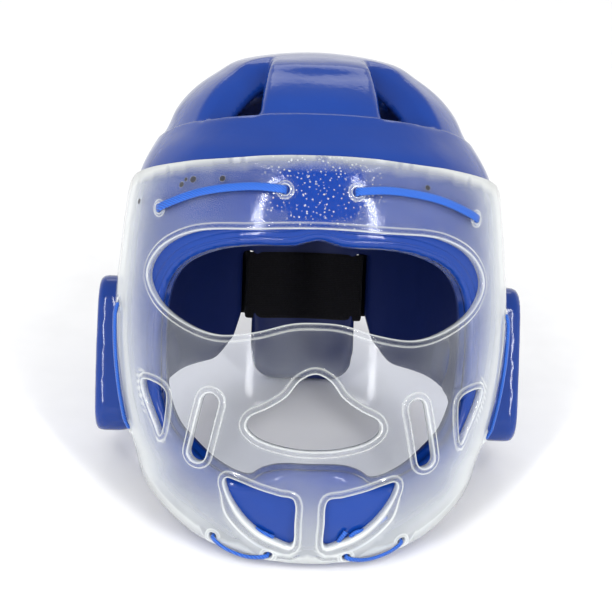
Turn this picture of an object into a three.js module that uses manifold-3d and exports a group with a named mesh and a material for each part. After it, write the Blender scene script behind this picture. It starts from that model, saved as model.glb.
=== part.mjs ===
// Karate headgear: a dipped-foam head guard with a clear face shield laced to it.
// Millimetres. X runs across the face, the face looks along -Y and Z is up.
// The guard is drawn upright and then leaned back onto the floor, where it rests on its chin
// and on the nape tongue.
import * as THREE from 'three';
import { mergeVertices } from 'three/addons/utils/BufferGeometryUtils.js';
import Module from 'manifold-3d';

const wasm = await Module();
wasm.setup();

// Driving sizes of the foam guard
const GUARD_WIDTH = 200;
const FRONT_REACH = 126;
const REAR_REACH = 112;
const GUARD_HEIGHT = 258;
const CHIN_LEVEL = -90;
const SIDE_WALL = 20;
const CROWN_WALL = 16;
const PLAN_POWER = 2.15;
const REST_TILT = THREE.MathUtils.degToRad(17.6);
const REST_FLATTEN = 1.5;

// The shield, its lips and its lace holes
const SHIELD_GAP = 0.35;
const SHIELD_SHEET = 2.5;
const SHIELD_REAR = -38.5;
const LIP_WIDTH = 3.4;
const LIP_HEIGHT = 1.1;
const LACE_HOLE = 5.2;
const LACE_HOLE_DEPTH = 9;
const SIDE_LACE_ANGLE = THREE.MathUtils.degToRad(74.5);

// The laces and the rear strap
const LACE_WIDTH = 3.6;
const LACE_THICKNESS = 2;
const LACE_GAP = 0.3;
const LACE_TUCK = 6;
const LACE_ARCH = 0.4;
const LACE_END_DROP = 0.6;
const STRAP_WIDTH = 40;
const STRAP_THICKNESS = 2;
const STRAP_LEVEL = 29;
const STRAP_GAP = 0.5;
const STRAP_SLACK = 1.1;
const STRAP_END = 74;

// The ear pads, whose centre is at y and z
const EAR_PAD_REACH = 114;
const EAR_PAD_HEIGHT = 84;
const EAR_PAD_LENGTH = 70;
const EAR_PAD_CORNER = 18;
const EAR_PAD_LEAN = THREE.MathUtils.degToRad(8);
const EAR_PAD_BEVEL = 6;
const EAR_CENTRE = { y: 1, z: 0 };
const EAR_HOLE = 24;

// The nape tongue and the gaps beside it
const TONGUE_WIDTH = 62;
const TONGUE_BOTTOM = -28;
const REAR_GAP = 6.5;
const REAR_GAP_TOP = 53;

// How far cutting bodies stand clear of what they cut
const CUT_MARGIN = 40;

// Level rings of the outside of the foam, from the chin up. Level is a share of the guard's
// height, half of half its width, widest and front of the front reach, rear of the rear reach.
const SECTIONS = [
  { level: 0, half: 0.52, widest: 0.3, front: 0.746, rear: 0.5 },
  { level: 0.012, half: 0.58, widest: 0.3, front: 0.778, rear: 0.58 },
  { level: 0.031, half: 0.65, widest: 0.3, front: 0.813, rear: 0.66 },
  { level: 0.062, half: 0.735, widest: 0.3, front: 0.865, rear: 0.74 },
  { level: 0.105, half: 0.805, widest: 0.3, front: 0.917, rear: 0.8 },
  { level: 0.147, half: 0.85, widest: 0.3, front: 0.952, rear: 0.85 },
  { level: 0.19, half: 0.88, widest: 0.3, front: 0.976, rear: 0.885 },
  { level: 0.229, half: 0.915, widest: 0.3, front: 0.992, rear: 0.912 },
  { level: 0.271, half: 0.943, widest: 0.3, front: 1, rear: 0.938 },
  { level: 0.349, half: 0.98, widest: 0.3, front: 0.997, rear: 0.973 },
  { level: 0.426, half: 0.998, widest: 0.3, front: 0.982, rear: 0.995 },
  { level: 0.504, half: 0.997, widest: 0.3, front: 0.96, rear: 1 },
  { level: 0.581, half: 0.978, widest: 0.3, front: 0.932, rear: 0.998 },
  { level: 0.659, half: 0.958, widest: 0.3, front: 0.905, rear: 0.982 },
  { level: 0.717, half: 0.935, widest: 0.3, front: 0.885, rear: 0.955 },
  { level: 0.767, half: 0.9, widest: 0.24, front: 0.853, rear: 0.924 },
  { level: 0.802, half: 0.86, widest: 0.17, front: 0.815, rear: 0.893 },
  { level: 0.833, half: 0.815, widest: 0.11, front: 0.74, rear: 0.857 },
  { level: 0.876, half: 0.747, widest: 0.03, front: 0.635, rear: 0.786 },
  { level: 0.919, half: 0.64, widest: -0.01, front: 0.54, rear: 0.68 },
  { level: 0.953, half: 0.51, widest: -0.02, front: 0.43, rear: 0.56 },
  { level: 0.984, half: 0.355, widest: -0.03, front: 0.29, rear: 0.4 },
  { level: 0.996, half: 0.19, widest: -0.03, front: 0.13, rear: 0.24 },
];
const AZIMUTH_STEPS = 40;
const SHIELD_TOP_ROW = 17;
const CHIN_WALL_ROW = 5;

// One half of each outline on the face, as x and z, from the middle outwards and back.
const FACE_EDGE = [[0, 71.4], [11, 68.8], [28, 68.3], [44, 66.2], [60, 59.5], [68, 50], [71, 38],
  [71.3, 10], [69.2, -8], [63, -20], [55.5, -25], [42, -33.6], [27, -37], [21.5, -33], [14, -30.3],
  [0, -30]];
const EYE_EDGE = [[0, 82], [30, 80.6], [59, 77.6], [75, 68], [81, 55], [76, 43.5], [63, 34.5],
  [47, 30], [29, 32.4], [12, 37.2], [0, 38]];
const MOUTH_EDGE = [[0, 13.7], [7, 10.5], [13, 2.8], [22, -3.6], [30, -8], [31.8, -12.5],
  [27, -17.8], [13, -22], [0, -23]];
const SHIELD_LOWER_EDGE = [[120, 150], [120, -10], [99.5, -20], [95.5, -31], [90.5, -41],
  [82.5, -52], [71, -63], [55.5, -74], [44.5, -79], [28, -84], [8, -87]];
const SIDE_VENT_EDGE = [[82, 2.6], [74, 2.2], [70.4, -0.6], [69.8, -6], [72.4, -23.6], [74.6, -19]];
const CHIN_VENT_EDGE = [[8.2, -47.6], [15, -46], [26, -43], [35, -39.8], [40, -38.8], [41, -41],
  [39.5, -47], [35.5, -54.3], [30, -61.4], [22.6, -67.9], [15, -71.8], [8.2, -73.9], [7.2, -60]];
const SLOT = { top: [48.8, -2.5], bottom: [54.3, -28.8], width: 8.6 };

// The face opening flares towards the front: its scale about a middle level at places along y.
const FACE_MIDDLE = 18;
const FACE_FLARE = [
  { y: -FRONT_REACH - CUT_MARGIN / 2, scale: 1.166 },
  { y: -100, scale: 1.1 },
  { y: -58, scale: 1 },
  { y: -25, scale: 1 },
];

// Side view of the shield's top and rear edge, as y and z.
const SHIELD_SIDE_EDGE = [[-150, 117.8], [-108, 117.3], [-104, 115.6], [-89, 110.5], [-69, 105.2],
  [-55, 101.5], [-46, 97], [-41, 92], [SHIELD_REAR, 84], [SHIELD_REAR, -140], [-150, -140]];

// The foam's lower edge: y, then the level of the inner edge and of the outer edge.
const FOAM_LOWER_EDGE = [[-84, -92, -92], [-77, -84, -88], [-69, -66, -83], [-59, -40, -75],
  [-47, -24, -62], [-36, -17, -51], [-22, -14, -44], [0, -13, -41], [30, -12, -37], [55, -12, -30],
  [75, -12, -22], [95, -12, -15], [150, -12, -12]];
const INNER_EDGE_X = 76;
const OUTER_EDGE_X = 102;

// The crown holes from above, as x and y, and how deep below the crown their cuts reach.
const FRONT_HOLE_EDGE = [[27, -22], [28, -50], [31, -76], [45, -74], [56, -66], [51, -43]];
const REAR_HOLE_EDGE = [[27, 16], [28, 36], [30, 52], [43, 51], [50, 43], [46, 28]];
const CROWN_HOLE_DEPTH = 68;

// The outer edge of a rear gap, as out from its straight part and level.
const REAR_GAP_EDGE = [[0, 12], [4, -1], [13, -12], [24, -22]];

// Where the strap lies on a flap and on the tongue, as x, and how it turns between them through
// the middle of a gap, as x from that middle and y from the flap or from the tongue.
const STRAP_ON_FLAP = [STRAP_END, 66, 58, 50, 43];
const STRAP_TURN_IN = [[3.6, 0.1], [1, -0.6], [0, -4]];
const STRAP_TURN_BACK = [[0, 4], [-0.8, 0.2], [-3.2, -0.2]];
const STRAP_ON_TONGUE = [27, 18, 9];

// Lace routes on the shield between two holes: x and z, or only z at one angle round the guard.
const BROW_LACE = [[17, 99.7], [34, 100], [56, 96], [76.5, 87.2]];
const SIDE_LACE_LEVELS = [36, 15, -8, -27];
const CHIN_LACE = [[50, -72], [40, -77.5], [29, -81], [18, -82]];
const KNOT_ROUTE = [[12, -69], [14, -66], [17, -66.5], [19, -63]];

const halfWidth = GUARD_WIDTH / 2;
const crownLevel = CHIN_LEVEL + GUARD_HEIGHT;
const frontOfCuts = -FRONT_REACH - CUT_MARGIN;
const rearOfCuts = REAR_REACH + CUT_MARGIN;
const rearOfFaceCuts = -20;
const rearOfGaps = 60;

// The positions of rows of points that each close into a loop, and the faces between the rows.
function loft(rows) {
  const columns = rows[0].length;
  const positions = rows.flat().flatMap((p) => [p.x, p.y, p.z]);
  const faces = [];
  const at = (row, column) => row * columns + (column % columns);
  for (let row = 0; row + 1 < rows.length; row++) {
    for (let column = 0; column < columns; column++) {
      const next = column + 1;
      faces.push(at(row, column), at(row, next), at(row + 1, next));
      faces.push(at(row, column), at(row + 1, next), at(row + 1, column));
    }
  }
  return { columns, positions, faces, at };
}

// A solid lofted through rows of points, closed at each end by a fan round the row's middle.
function solidFromRows(rows) {
  const { columns, positions, faces, at } = loft(rows);
  for (const row of [0, rows.length - 1]) {
    const sum = rows[row].reduce((total, p) => total.add(p), new THREE.Vector3());
    const middle = sum.divideScalar(columns);
    const tip = positions.length / 3;
    positions.push(middle.x, middle.y, middle.z);
    for (let column = 0; column < columns; column++) {
      if (row === 0) faces.push(tip, at(row, column + 1), at(row, column));
      else faces.push(tip, at(row, column), at(row, column + 1));
    }
  }
  return solid(indexed(positions, faces));
}

// A closed sheet from rows that each run out along one face and back along the other.
function sheetFromRows(rows) {
  const { columns, positions, faces, at } = loft(rows);
  for (const row of [0, rows.length - 1]) {
    for (let column = 0; column + 1 < columns / 2; column++) {
      const mate = columns - 1 - column;
      const quad = [at(row, column), at(row, column + 1), at(row, mate - 1), at(row, mate)];
      const order = row === 0 ? [0, 2, 1, 0, 3, 2] : [0, 1, 2, 0, 2, 3];
      faces.push(...order.map((corner) => quad[corner]));
    }
  }
  return solid(indexed(positions, faces));
}

function indexed(positions, faces) {
  const geometry = new THREE.BufferGeometry();
  geometry.setAttribute('position', new THREE.Float32BufferAttribute(positions, 3));
  geometry.setIndex(faces);
  return geometry;
}

// A closed geometry as a solid that can be joined and cut, with its faces turned out.
function solid(geometry) {
  const bare = geometry.clone();
  bare.deleteAttribute('normal');
  bare.deleteAttribute('uv');
  const merged = mergeVertices(bare, 1e-4);
  const make = (triVerts) => new wasm.Manifold(new wasm.Mesh({
    numProp: 3,
    vertProperties: new Float32Array(merged.attributes.position.array),
    triVerts,
  }));
  const faces = new Uint32Array(merged.index.array);
  const made = make(faces);
  if (made.volume() > 0) return made;
  return make(faces.reverse());
}

function geometryOf(body) {
  const mesh = body.getMesh();
  return indexed(Array.from(mesh.vertProperties), Array.from(mesh.triVerts));
}

// A point of the plan ring of one section, at an angle from the front towards +X.
function ringPoint(section, angle) {
  const half = halfWidth * section.half;
  const widest = -FRONT_REACH * section.widest;
  const front = -FRONT_REACH * section.front;
  const rear = REAR_REACH * section.rear;
  const across = Math.sign(Math.sin(angle)) * Math.abs(Math.sin(angle)) ** (2 / PLAN_POWER);
  const along = Math.abs(Math.cos(angle)) ** (2 / PLAN_POWER);
  const end = Math.cos(angle) > 0 ? front : rear;
  const y = widest + (end - widest) * along;
  return new THREE.Vector3(half * across, y, CHIN_LEVEL + GUARD_HEIGHT * section.level);
}

// The outward normal of the foam's outside at one section row and angle.
function outward(row, angle) {
  const below = SECTIONS[Math.max(row - 1, 0)];
  const above = SECTIONS[Math.min(row + 1, SECTIONS.length - 1)];
  const step = 0.02;
  const around = ringPoint(SECTIONS[row], angle + step).sub(ringPoint(SECTIONS[row], angle - step));
  const up = ringPoint(above, angle).sub(ringPoint(below, angle));
  return around.cross(up).normalize();
}

function offsetPoint(row, angle, distance) {
  return ringPoint(SECTIONS[row], angle).addScaledVector(outward(row, angle), distance);
}

function angles(steps, from, to) {
  return Array.from({ length: steps }, (_, i) => from + ((to - from) * i) / steps);
}

// The foam's outside as a closed solid.
function outerForm() {
  const around = angles(AZIMUTH_STEPS, 0, 2 * Math.PI);
  const ring = (row) => around.map((angle) => offsetPoint(row, angle, 0));
  return solidFromRows(SECTIONS.map((_, row) => ring(row)));
}

// The wall grows thinner towards the crown.
function wallAt(row) {
  const share = THREE.MathUtils.smoothstep(SECTIONS[row].level, 0.6, 0.9);
  return THREE.MathUtils.lerp(SIDE_WALL, CROWN_WALL, share);
}

// A point of the inside of the foam: square to the outside, but level round the chin,
// so that the chin cup keeps a floor.
function insidePoint(row, angle, distance = 0) {
  const inward = outward(row, angle);
  if (row < CHIN_WALL_ROW) inward.setZ(0).normalize();
  return ringPoint(SECTIONS[row], angle).addScaledVector(inward, -wallAt(row) - distance);
}

// The head's room inside the foam, open downwards through the neck.
function cavity() {
  const around = angles(AZIMUTH_STEPS, 0, 2 * Math.PI);
  const rows = SECTIONS.map((_, row) => around.map((angle) => insidePoint(row, angle))).slice(2);
  const neck = rows[0].map((p) => p.clone().setZ(CHIN_LEVEL - CUT_MARGIN));
  return solidFromRows([neck, ...rows]);
}

// A closed sheet between two offsets of the foam's outside, in front of its widest line.
function frontSheet(inner, outer) {
  const quarter = AZIMUTH_STEPS / 4;
  const step = (2 * Math.PI) / AZIMUTH_STEPS;
  const rows = [];
  for (let row = 0; row <= SHIELD_TOP_ROW; row++) {
    const loop = [];
    for (let i = -quarter; i <= quarter; i++) loop.push(offsetPoint(row, i * step, outer));
    for (let i = quarter; i >= -quarter; i--) loop.push(offsetPoint(row, i * step, inner));
    rows.push(loop);
  }
  return sheetFromRows(rows);
}

// A smooth closed outline through points, as two-dimensional vectors.
function smoothLoop(points, perPoint = 4) {
  const knots = points.map(([u, v]) => new THREE.Vector3(u, v, 0));
  const curve = new THREE.CatmullRomCurve3(knots, true, 'centripetal');
  const count = points.length * perPoint;
  return angles(count, 0, 1).map((share) => {
    const p = curve.getPoint(share);
    return new THREE.Vector2(p.x, p.y);
  });
}

// A half outline joined with its mirror image into one closed list of points.
function mirrored(half) {
  const back = half.filter(([u]) => u > 0).reverse().map(([u, v]) => [-u, v]);
  return [...half, ...back];
}

// The outline of a slanted slot with round ends.
function slotPoints(side) {
  const top = new THREE.Vector2(...SLOT.top);
  const bottom = new THREE.Vector2(...SLOT.bottom);
  const lean = top.clone().sub(bottom).angle();
  const arc = (centre, start) => [...angles(5, start, start + Math.PI), start + Math.PI].map((angle) => {
    const p = new THREE.Vector2(Math.cos(angle), Math.sin(angle)).multiplyScalar(SLOT.width / 2);
    return p.add(centre).multiply(new THREE.Vector2(side, 1));
  });
  return [...arc(top, lean - Math.PI / 2), ...arc(bottom, lean + Math.PI / 2)];
}

// An outline moved outwards by a distance.
function grown(loop, distance) {
  const turn = Math.sign(THREE.ShapeUtils.area(loop));
  return loop.map((p, i) => {
    const before = loop[(i + loop.length - 1) % loop.length];
    const after = loop[(i + 1) % loop.length];
    const along = after.clone().sub(before).normalize();
    return new THREE.Vector2(p.x + turn * along.y * distance, p.y - turn * along.x * distance);
  });
}

// A prism of an x, z outline that runs along Y between two places.
function prismAlongY(loop, from, to) {
  const depth = to - from;
  const geometry = new THREE.ExtrudeGeometry(new THREE.Shape(loop), { depth, bevelEnabled: false });
  geometry.rotateX(Math.PI / 2);
  geometry.translate(0, to, 0);
  return solid(geometry);
}

// Turns a geometry that was drawn in x and y and extruded along Z to y, z and along X.
function turnedAcross(geometry) {
  return geometry.applyMatrix4(new THREE.Matrix4().makeBasis(
    new THREE.Vector3(0, 1, 0), new THREE.Vector3(0, 0, 1), new THREE.Vector3(1, 0, 0)));
}

// A prism of a y, z outline that runs across, centred.
function prismAlongX(points, depth) {
  const loop = points.map(([y, z]) => new THREE.Vector2(y, z));
  const geometry = new THREE.ExtrudeGeometry(new THREE.Shape(loop), { depth, bevelEnabled: false });
  return solid(turnedAcross(geometry).translate(-depth / 2, 0, 0));
}

function faceCutter() {
  const loop = smoothLoop(mirrored(FACE_EDGE), 1);
  return solidFromRows(FACE_FLARE.map(({ y, scale }) => loop.map((p) => (
    new THREE.Vector3(p.x * scale, y, FACE_MIDDLE + (p.y - FACE_MIDDLE) * scale)))));
}

// One of the four holes beside the crown strap, cut straight down.
function crownHole(edge, side) {
  const loop = smoothLoop(edge.map(([x, y]) => [side * x, y]), 5);
  const depth = CROWN_HOLE_DEPTH + CUT_MARGIN;
  const geometry = new THREE.ExtrudeGeometry(new THREE.Shape(loop), { depth, bevelEnabled: false });
  return solid(geometry.translate(0, 0, crownLevel - CROWN_HOLE_DEPTH));
}

// A rounded slab that stands out of the guard's side and leans back.
function earPad(side) {
  const length = EAR_PAD_LENGTH - 2 * EAR_PAD_BEVEL;
  const height = EAR_PAD_HEIGHT - 2 * EAR_PAD_BEVEL;
  const corner = EAR_PAD_CORNER - EAR_PAD_BEVEL;
  const shape = new THREE.Shape();
  shape.moveTo(-length / 2 + corner, -height / 2);
  for (const [sy, sz, start] of [[1, -1, -0.5], [1, 1, 0], [-1, 1, 0.5], [-1, -1, 1]]) {
    const y = sy * (length / 2 - corner);
    const z = sz * (height / 2 - corner);
    shape.absarc(y, z, corner, start * Math.PI, (start + 0.5) * Math.PI, false);
  }
  const inner = halfWidth - SIDE_WALL / 2;
  const geometry = new THREE.ExtrudeGeometry(shape, {
    depth: EAR_PAD_REACH - inner - EAR_PAD_BEVEL,
    bevelThickness: EAR_PAD_BEVEL,
    bevelSize: EAR_PAD_BEVEL,
    bevelSegments: 3,
    curveSegments: 4,
  });
  turnedAcross(geometry).rotateX(-EAR_PAD_LEAN);
  geometry.translate(inner, EAR_CENTRE.y, EAR_CENTRE.z);
  return solid(side > 0 ? geometry : geometry.scale(-1, 1, 1));
}

function earHole(side) {
  const geometry = new THREE.CylinderGeometry(EAR_HOLE / 2, EAR_HOLE / 2, 2 * CUT_MARGIN, 24);
  geometry.rotateZ(Math.PI / 2);
  return solid(geometry.translate(side * halfWidth, EAR_CENTRE.y, EAR_CENTRE.z));
}

// The section row, with a fraction, at a level of z.
function rowAt(z) {
  const level = (z - CHIN_LEVEL) / GUARD_HEIGHT;
  const above = SECTIONS.findIndex((section) => section.level >= level);
  if (above <= 0) return 0;
  const low = SECTIONS[above - 1];
  return above - 1 + (level - low.level) / (SECTIONS[above].level - low.level);
}

// The place on the foam's outside at x and z: its section row, with a fraction, and its angle.
function spotAt(x, z, rear = false) {
  const row = rowAt(z);
  const low = SECTIONS[Math.floor(row)];
  const high = SECTIONS[Math.min(Math.floor(row) + 1, SECTIONS.length - 1)];
  const half = halfWidth * THREE.MathUtils.lerp(low.half, high.half, row % 1);
  const angle = Math.asin(Math.min(Math.abs(x) / half, 1) ** (PLAN_POWER / 2));
  return { row, angle: Math.sign(x) * (rear ? Math.PI - angle : angle) };
}

// A point over or under a spot, by a point function of section row, angle and distance.
function pointOver({ row, angle }, distance, pointOf = offsetPoint) {
  const low = Math.floor(row);
  const high = Math.min(low + 1, SECTIONS.length - 1);
  return pointOf(low, angle, distance).lerp(pointOf(high, angle, distance), row - low);
}

function normalAt(spot) {
  return pointOver(spot, 1).sub(pointOver(spot, 0)).normalize();
}

// A round cutter square to the foam's outside at a spot.
function holeAt(spot, from, to) {
  const middle = pointOver(spot, (from + to) / 2);
  const geometry = new THREE.CylinderGeometry(LACE_HOLE / 2, LACE_HOLE / 2, to - from, 10);
  const turn = new THREE.Quaternion().setFromUnitVectors(new THREE.Vector3(0, 1, 0), normalAt(spot));
  geometry.applyQuaternion(turn);
  return solid(geometry.translate(middle.x, middle.y, middle.z));
}

// The side lace keeps to one angle round the guard.
function sideLaceRoute() {
  return SIDE_LACE_LEVELS.map((z) => [pointOver({ row: rowAt(z), angle: SIDE_LACE_ANGLE }, 0).x, z]);
}

const LACES = [
  { name: 'lace_brow', route: BROW_LACE },
  { name: 'lace_side', route: sideLaceRoute() },
  { name: 'lace_chin', route: CHIN_LACE },
];

// The two lace holes of each lace on one side of the guard.
function laceEnds(side) {
  return LACES.flatMap(({ route }) => [route[0], route[route.length - 1]])
    .map(([x, z]) => spotAt(side * x, z));
}

// A flat lace swept along points that each have a sideways direction.
function laceSolid(points, sides) {
  const rows = points.map((point, i) => {
    const before = points[Math.max(i - 1, 0)];
    const after = points[Math.min(i + 1, points.length - 1)];
    const along = after.clone().sub(before).normalize();
    const up = sides[i].clone().cross(along).normalize();
    const side = along.clone().cross(up);
    return angles(6, 0, 2 * Math.PI).map((angle) => point.clone()
      .addScaledVector(side, (LACE_WIDTH / 2) * Math.cos(angle))
      .addScaledVector(up, (LACE_THICKNESS / 2) * Math.sin(angle)));
  });
  return solidFromRows(rows);
}

// The spots along a route, and the sideways direction at each.
function laceSpots(route, side, steps) {
  const flat = new THREE.CatmullRomCurve3(route.map(([x, z]) => new THREE.Vector3(side * x, 0, z)));
  const spots = flat.getPoints(steps).map((p) => spotAt(p.x, p.z));
  const points = spots.map((spot) => pointOver(spot, 0));
  const sides = spots.map((spot, i) => {
    const along = points[Math.min(i + 1, steps)].clone().sub(points[Math.max(i - 1, 0)]);
    return normalAt(spot).cross(along).normalize();
  });
  return { spots, sides };
}

// A lace that comes out of one hole, runs over the shield and goes into the other.
function laceOnShield(route, side) {
  const lift = SHIELD_GAP + SHIELD_SHEET + LACE_GAP + LACE_THICKNESS / 2;
  const steps = 9;
  const { spots, sides } = laceSpots(route, side, steps);
  const points = spots.map((spot, i) => {
    const arch = i === 0 || i === steps ? -LACE_END_DROP : LACE_ARCH;
    return pointOver(spot, lift + arch);
  });
  return laceSolid(
    [pointOver(spots[0], -LACE_TUCK), ...points, pointOver(spots[steps], -LACE_TUCK)],
    [sides[0], ...sides, sides[steps]]);
}

// The end of the chin lace, which lies on the foam in a chin vent.
function knotSolid() {
  const { spots, sides } = laceSpots(KNOT_ROUTE, 1, 8);
  return laceSolid(spots.map((spot) => pointOver(spot, 2 * LACE_GAP + LACE_THICKNESS / 2)), sides);
}

// The strap's middle line at one level: along a flap, in through the gap and behind the tongue.
function strapLine(z) {
  const gapMiddle = (TONGUE_WIDTH + REAR_GAP) / 2;
  const outside = (x) => pointOver(spotAt(x, z, true), STRAP_GAP + STRAP_THICKNESS / 2);
  const inside = (x) => {
    const wide = pointOver(spotAt(x, z, true), 0, insidePoint).x;
    return pointOver(spotAt((x * x) / wide, z, true), STRAP_SLACK + STRAP_THICKNESS / 2, insidePoint);
  };
  const turn = (steps, y) => steps.map(([dx, dy]) => new THREE.Vector3(gapMiddle + dx, y + dy, z));
  const half = [
    ...STRAP_ON_FLAP.map(outside),
    ...turn(STRAP_TURN_IN, outside(gapMiddle).y),
    ...turn(STRAP_TURN_BACK, inside(gapMiddle).y),
    ...STRAP_ON_TONGUE.map(inside),
  ];
  const rearMiddle = { row: rowAt(z), angle: Math.PI };
  const middle = pointOver(rearMiddle, STRAP_SLACK + STRAP_THICKNESS / 2, insidePoint).setX(0);
  const other = half.map((p) => new THREE.Vector3(-p.x, p.y, p.z)).reverse();
  return [...half, middle, ...other].map((p) => p.setZ(z));
}

// The elastic strap: a ribbon of one height that follows the line at each of its levels.
function rearStrap() {
  const levels = [-0.5, -0.25, 0, 0.25, 0.5].map((share) => STRAP_LEVEL + share * STRAP_WIDTH);
  const rows = levels.map((z) => {
    const line = strapLine(z);
    const offset = (distance) => line.map((p, i) => {
      const after = line[Math.min(i + 1, line.length - 1)];
      const along = after.clone().sub(line[Math.max(i - 1, 0)]).normalize();
      return new THREE.Vector3(p.x - along.y * distance, p.y + along.x * distance, z);
    });
    return [...offset(STRAP_THICKNESS / 2), ...offset(-STRAP_THICKNESS / 2).reverse()];
  });
  return sheetFromRows(rows);
}

// What is cut away under the foam's lower edge, which slopes down from the inside to the outside.
function lowerCutter() {
  const bottom = CHIN_LEVEL - CUT_MARGIN;
  const rear = FOAM_LOWER_EDGE[FOAM_LOWER_EDGE.length - 1][0];
  const front = FOAM_LOWER_EDGE[0][0];
  const section = (x, share) => [
    ...FOAM_LOWER_EDGE.map(([y, inner, outer]) => (
      new THREE.Vector3(x, y, THREE.MathUtils.lerp(inner, outer, share)))),
    new THREE.Vector3(x, rear, bottom),
    new THREE.Vector3(x, front, bottom),
  ];
  const side = OUTER_EDGE_X + CUT_MARGIN;
  return solidFromRows([
    section(-side, 1), section(-OUTER_EDGE_X, 1), section(-INNER_EDGE_X, 0),
    section(INNER_EDGE_X, 0), section(OUTER_EDGE_X, 1), section(side, 1)]);
}

// The block of the nape tongue that the lower cut leaves standing.
function tongueBlock() {
  const depth = rearOfCuts - rearOfGaps;
  const height = REAR_GAP_TOP - TONGUE_BOTTOM;
  return solid(new THREE.BoxGeometry(TONGUE_WIDTH, depth, height)
    .translate(0, rearOfGaps + depth / 2, TONGUE_BOTTOM + height / 2));
}

// A gap between the tongue and a rear flap, which widens below the flap's corner.
function rearGap(side) {
  const inner = TONGUE_WIDTH / 2;
  const outer = inner + REAR_GAP;
  const flare = REAR_GAP_EDGE.map(([out, z]) => [outer + out, z]);
  const bottom = CHIN_LEVEL;
  const lowest = flare[flare.length - 1][0];
  const edge = [[inner, REAR_GAP_TOP], [outer, REAR_GAP_TOP], ...flare, [lowest, bottom], [inner, bottom]];
  return prismAlongY(edge.map(([x, z]) => new THREE.Vector2(side * x, z)), rearOfGaps, rearOfCuts);
}

function foamShell() {
  let foam = outerForm();
  for (const side of [-1, 1]) foam = foam.add(earPad(side));
  foam = foam.subtract(cavity()).subtract(faceCutter());
  foam = foam.subtract(lowerCutter().subtract(tongueBlock()));
  for (const side of [-1, 1]) {
    foam = foam.subtract(rearGap(side)).subtract(earHole(side));
    foam = foam.subtract(crownHole(FRONT_HOLE_EDGE, side)).subtract(crownHole(REAR_HOLE_EDGE, side));
    for (const spot of laceEnds(side)) foam = foam.subtract(holeAt(spot, -LACE_HOLE_DEPTH, 2));
  }
  return foam;
}

function shieldOutlines() {
  const outlines = [smoothLoop(mirrored(EYE_EDGE), 2), smoothLoop(mirrored(MOUTH_EDGE), 2)];
  for (const side of [-1, 1]) {
    const turned = (points) => points.map(([x, z]) => [side * x, z]);
    outlines.push(slotPoints(side));
    outlines.push(smoothLoop(turned(SIDE_VENT_EDGE), 2));
    outlines.push(smoothLoop(turned(CHIN_VENT_EDGE), 1));
  }
  return outlines;
}

// The clear sheet, with a raised lip round each opening.
function faceShield() {
  const face = SHIELD_GAP + SHIELD_SHEET;
  const lower = mirrored(SHIELD_LOWER_EDGE).map(([x, z]) => new THREE.Vector2(x, z));
  const outlines = shieldOutlines();
  const through = (loop) => prismAlongY(loop, frontOfCuts, rearOfFaceCuts);
  const rims = outlines.map((loop) => through(grown(loop, LIP_WIDTH)));
  const lips = frontSheet(face - 0.5, face + LIP_HEIGHT);
  let shield = frontSheet(SHIELD_GAP, face);
  for (const rim of rims) shield = shield.add(lips.intersect(rim));
  shield = shield.intersect(prismAlongX(SHIELD_SIDE_EDGE, GUARD_WIDTH + CUT_MARGIN));
  shield = shield.intersect(prismAlongY(lower, frontOfCuts, 0));
  for (const loop of outlines) shield = shield.subtract(through(loop));
  for (const side of [-1, 1]) {
    for (const spot of laceEnds(side)) shield = shield.subtract(holeAt(spot, -1, face + 4));
  }
  return shield;
}

const FOAM_LOOK = { color: 0x526eb2, roughness: 0.35, metalness: 0 };
const SHIELD_LOOK = { color: 0xd8e6f2, roughness: 0.08, metalness: 0, transparent: true, opacity: 0.35 };
const LACE_LOOK = { color: 0x3c78c6, roughness: 0.8, metalness: 0 };
const STRAP_LOOK = { color: 0x110f12, roughness: 0.9, metalness: 0 };

// The upright height of the floor plane under the tilted guard, which stands on the tongue's foot.
const tongueFoot = pointOver({ row: rowAt(TONGUE_BOTTOM), angle: Math.PI }, 0).y;
const floorDrop = tongueFoot * Math.sin(REST_TILT) - (TONGUE_BOTTOM + REST_FLATTEN) * Math.cos(REST_TILT);
const blockSize = 2 * (FRONT_REACH + REAR_REACH);
const floorCut = solid(new THREE.BoxGeometry(blockSize, blockSize, blockSize)
  .translate(0, 0, -blockSize / 2 - floorDrop).rotateX(REST_TILT));

const tilted = new THREE.Group();
tilted.rotation.x = -REST_TILT;
tilted.position.z = floorDrop;

function place(name, body, look) {
  const mesh = new THREE.Mesh(geometryOf(body), new THREE.MeshStandardMaterial(look));
  mesh.name = name;
  tilted.add(mesh);
}

place('foam_shell', foamShell().subtract(floorCut), FOAM_LOOK);
place('face_shield', faceShield(), SHIELD_LOOK);
for (const { name, route } of LACES) {
  place(`${name}_left`, laceOnShield(route, -1), LACE_LOOK);
  place(`${name}_right`, laceOnShield(route, 1), LACE_LOOK);
}
place('lace_knot', knotSolid(), LACE_LOOK);
place('rear_strap', rearStrap(), STRAP_LOOK);

// The origin is on the floor under the middle of the guard.
const bounds = new THREE.Box3().setFromObject(tilted, true);
tilted.position.y = -(bounds.min.y + bounds.max.y) / 2;

const headgear = new THREE.Group();
headgear.add(tilted);
export default headgear;
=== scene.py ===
"""Karate headgear: a dipped-foam head guard with a clear face shield laced over the face.

Sizes are in millimetres in the guard's upright frame: X runs across, the face looks along -Y and
Z is up. to_row() leans the guard back onto its chin and nape tongue and turns it to metres.
"""
import math

import bmesh
import bpy
import numpy as np
from mathutils import Matrix, Vector
from mathutils.geometry import delaunay_2d_cdt


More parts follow.
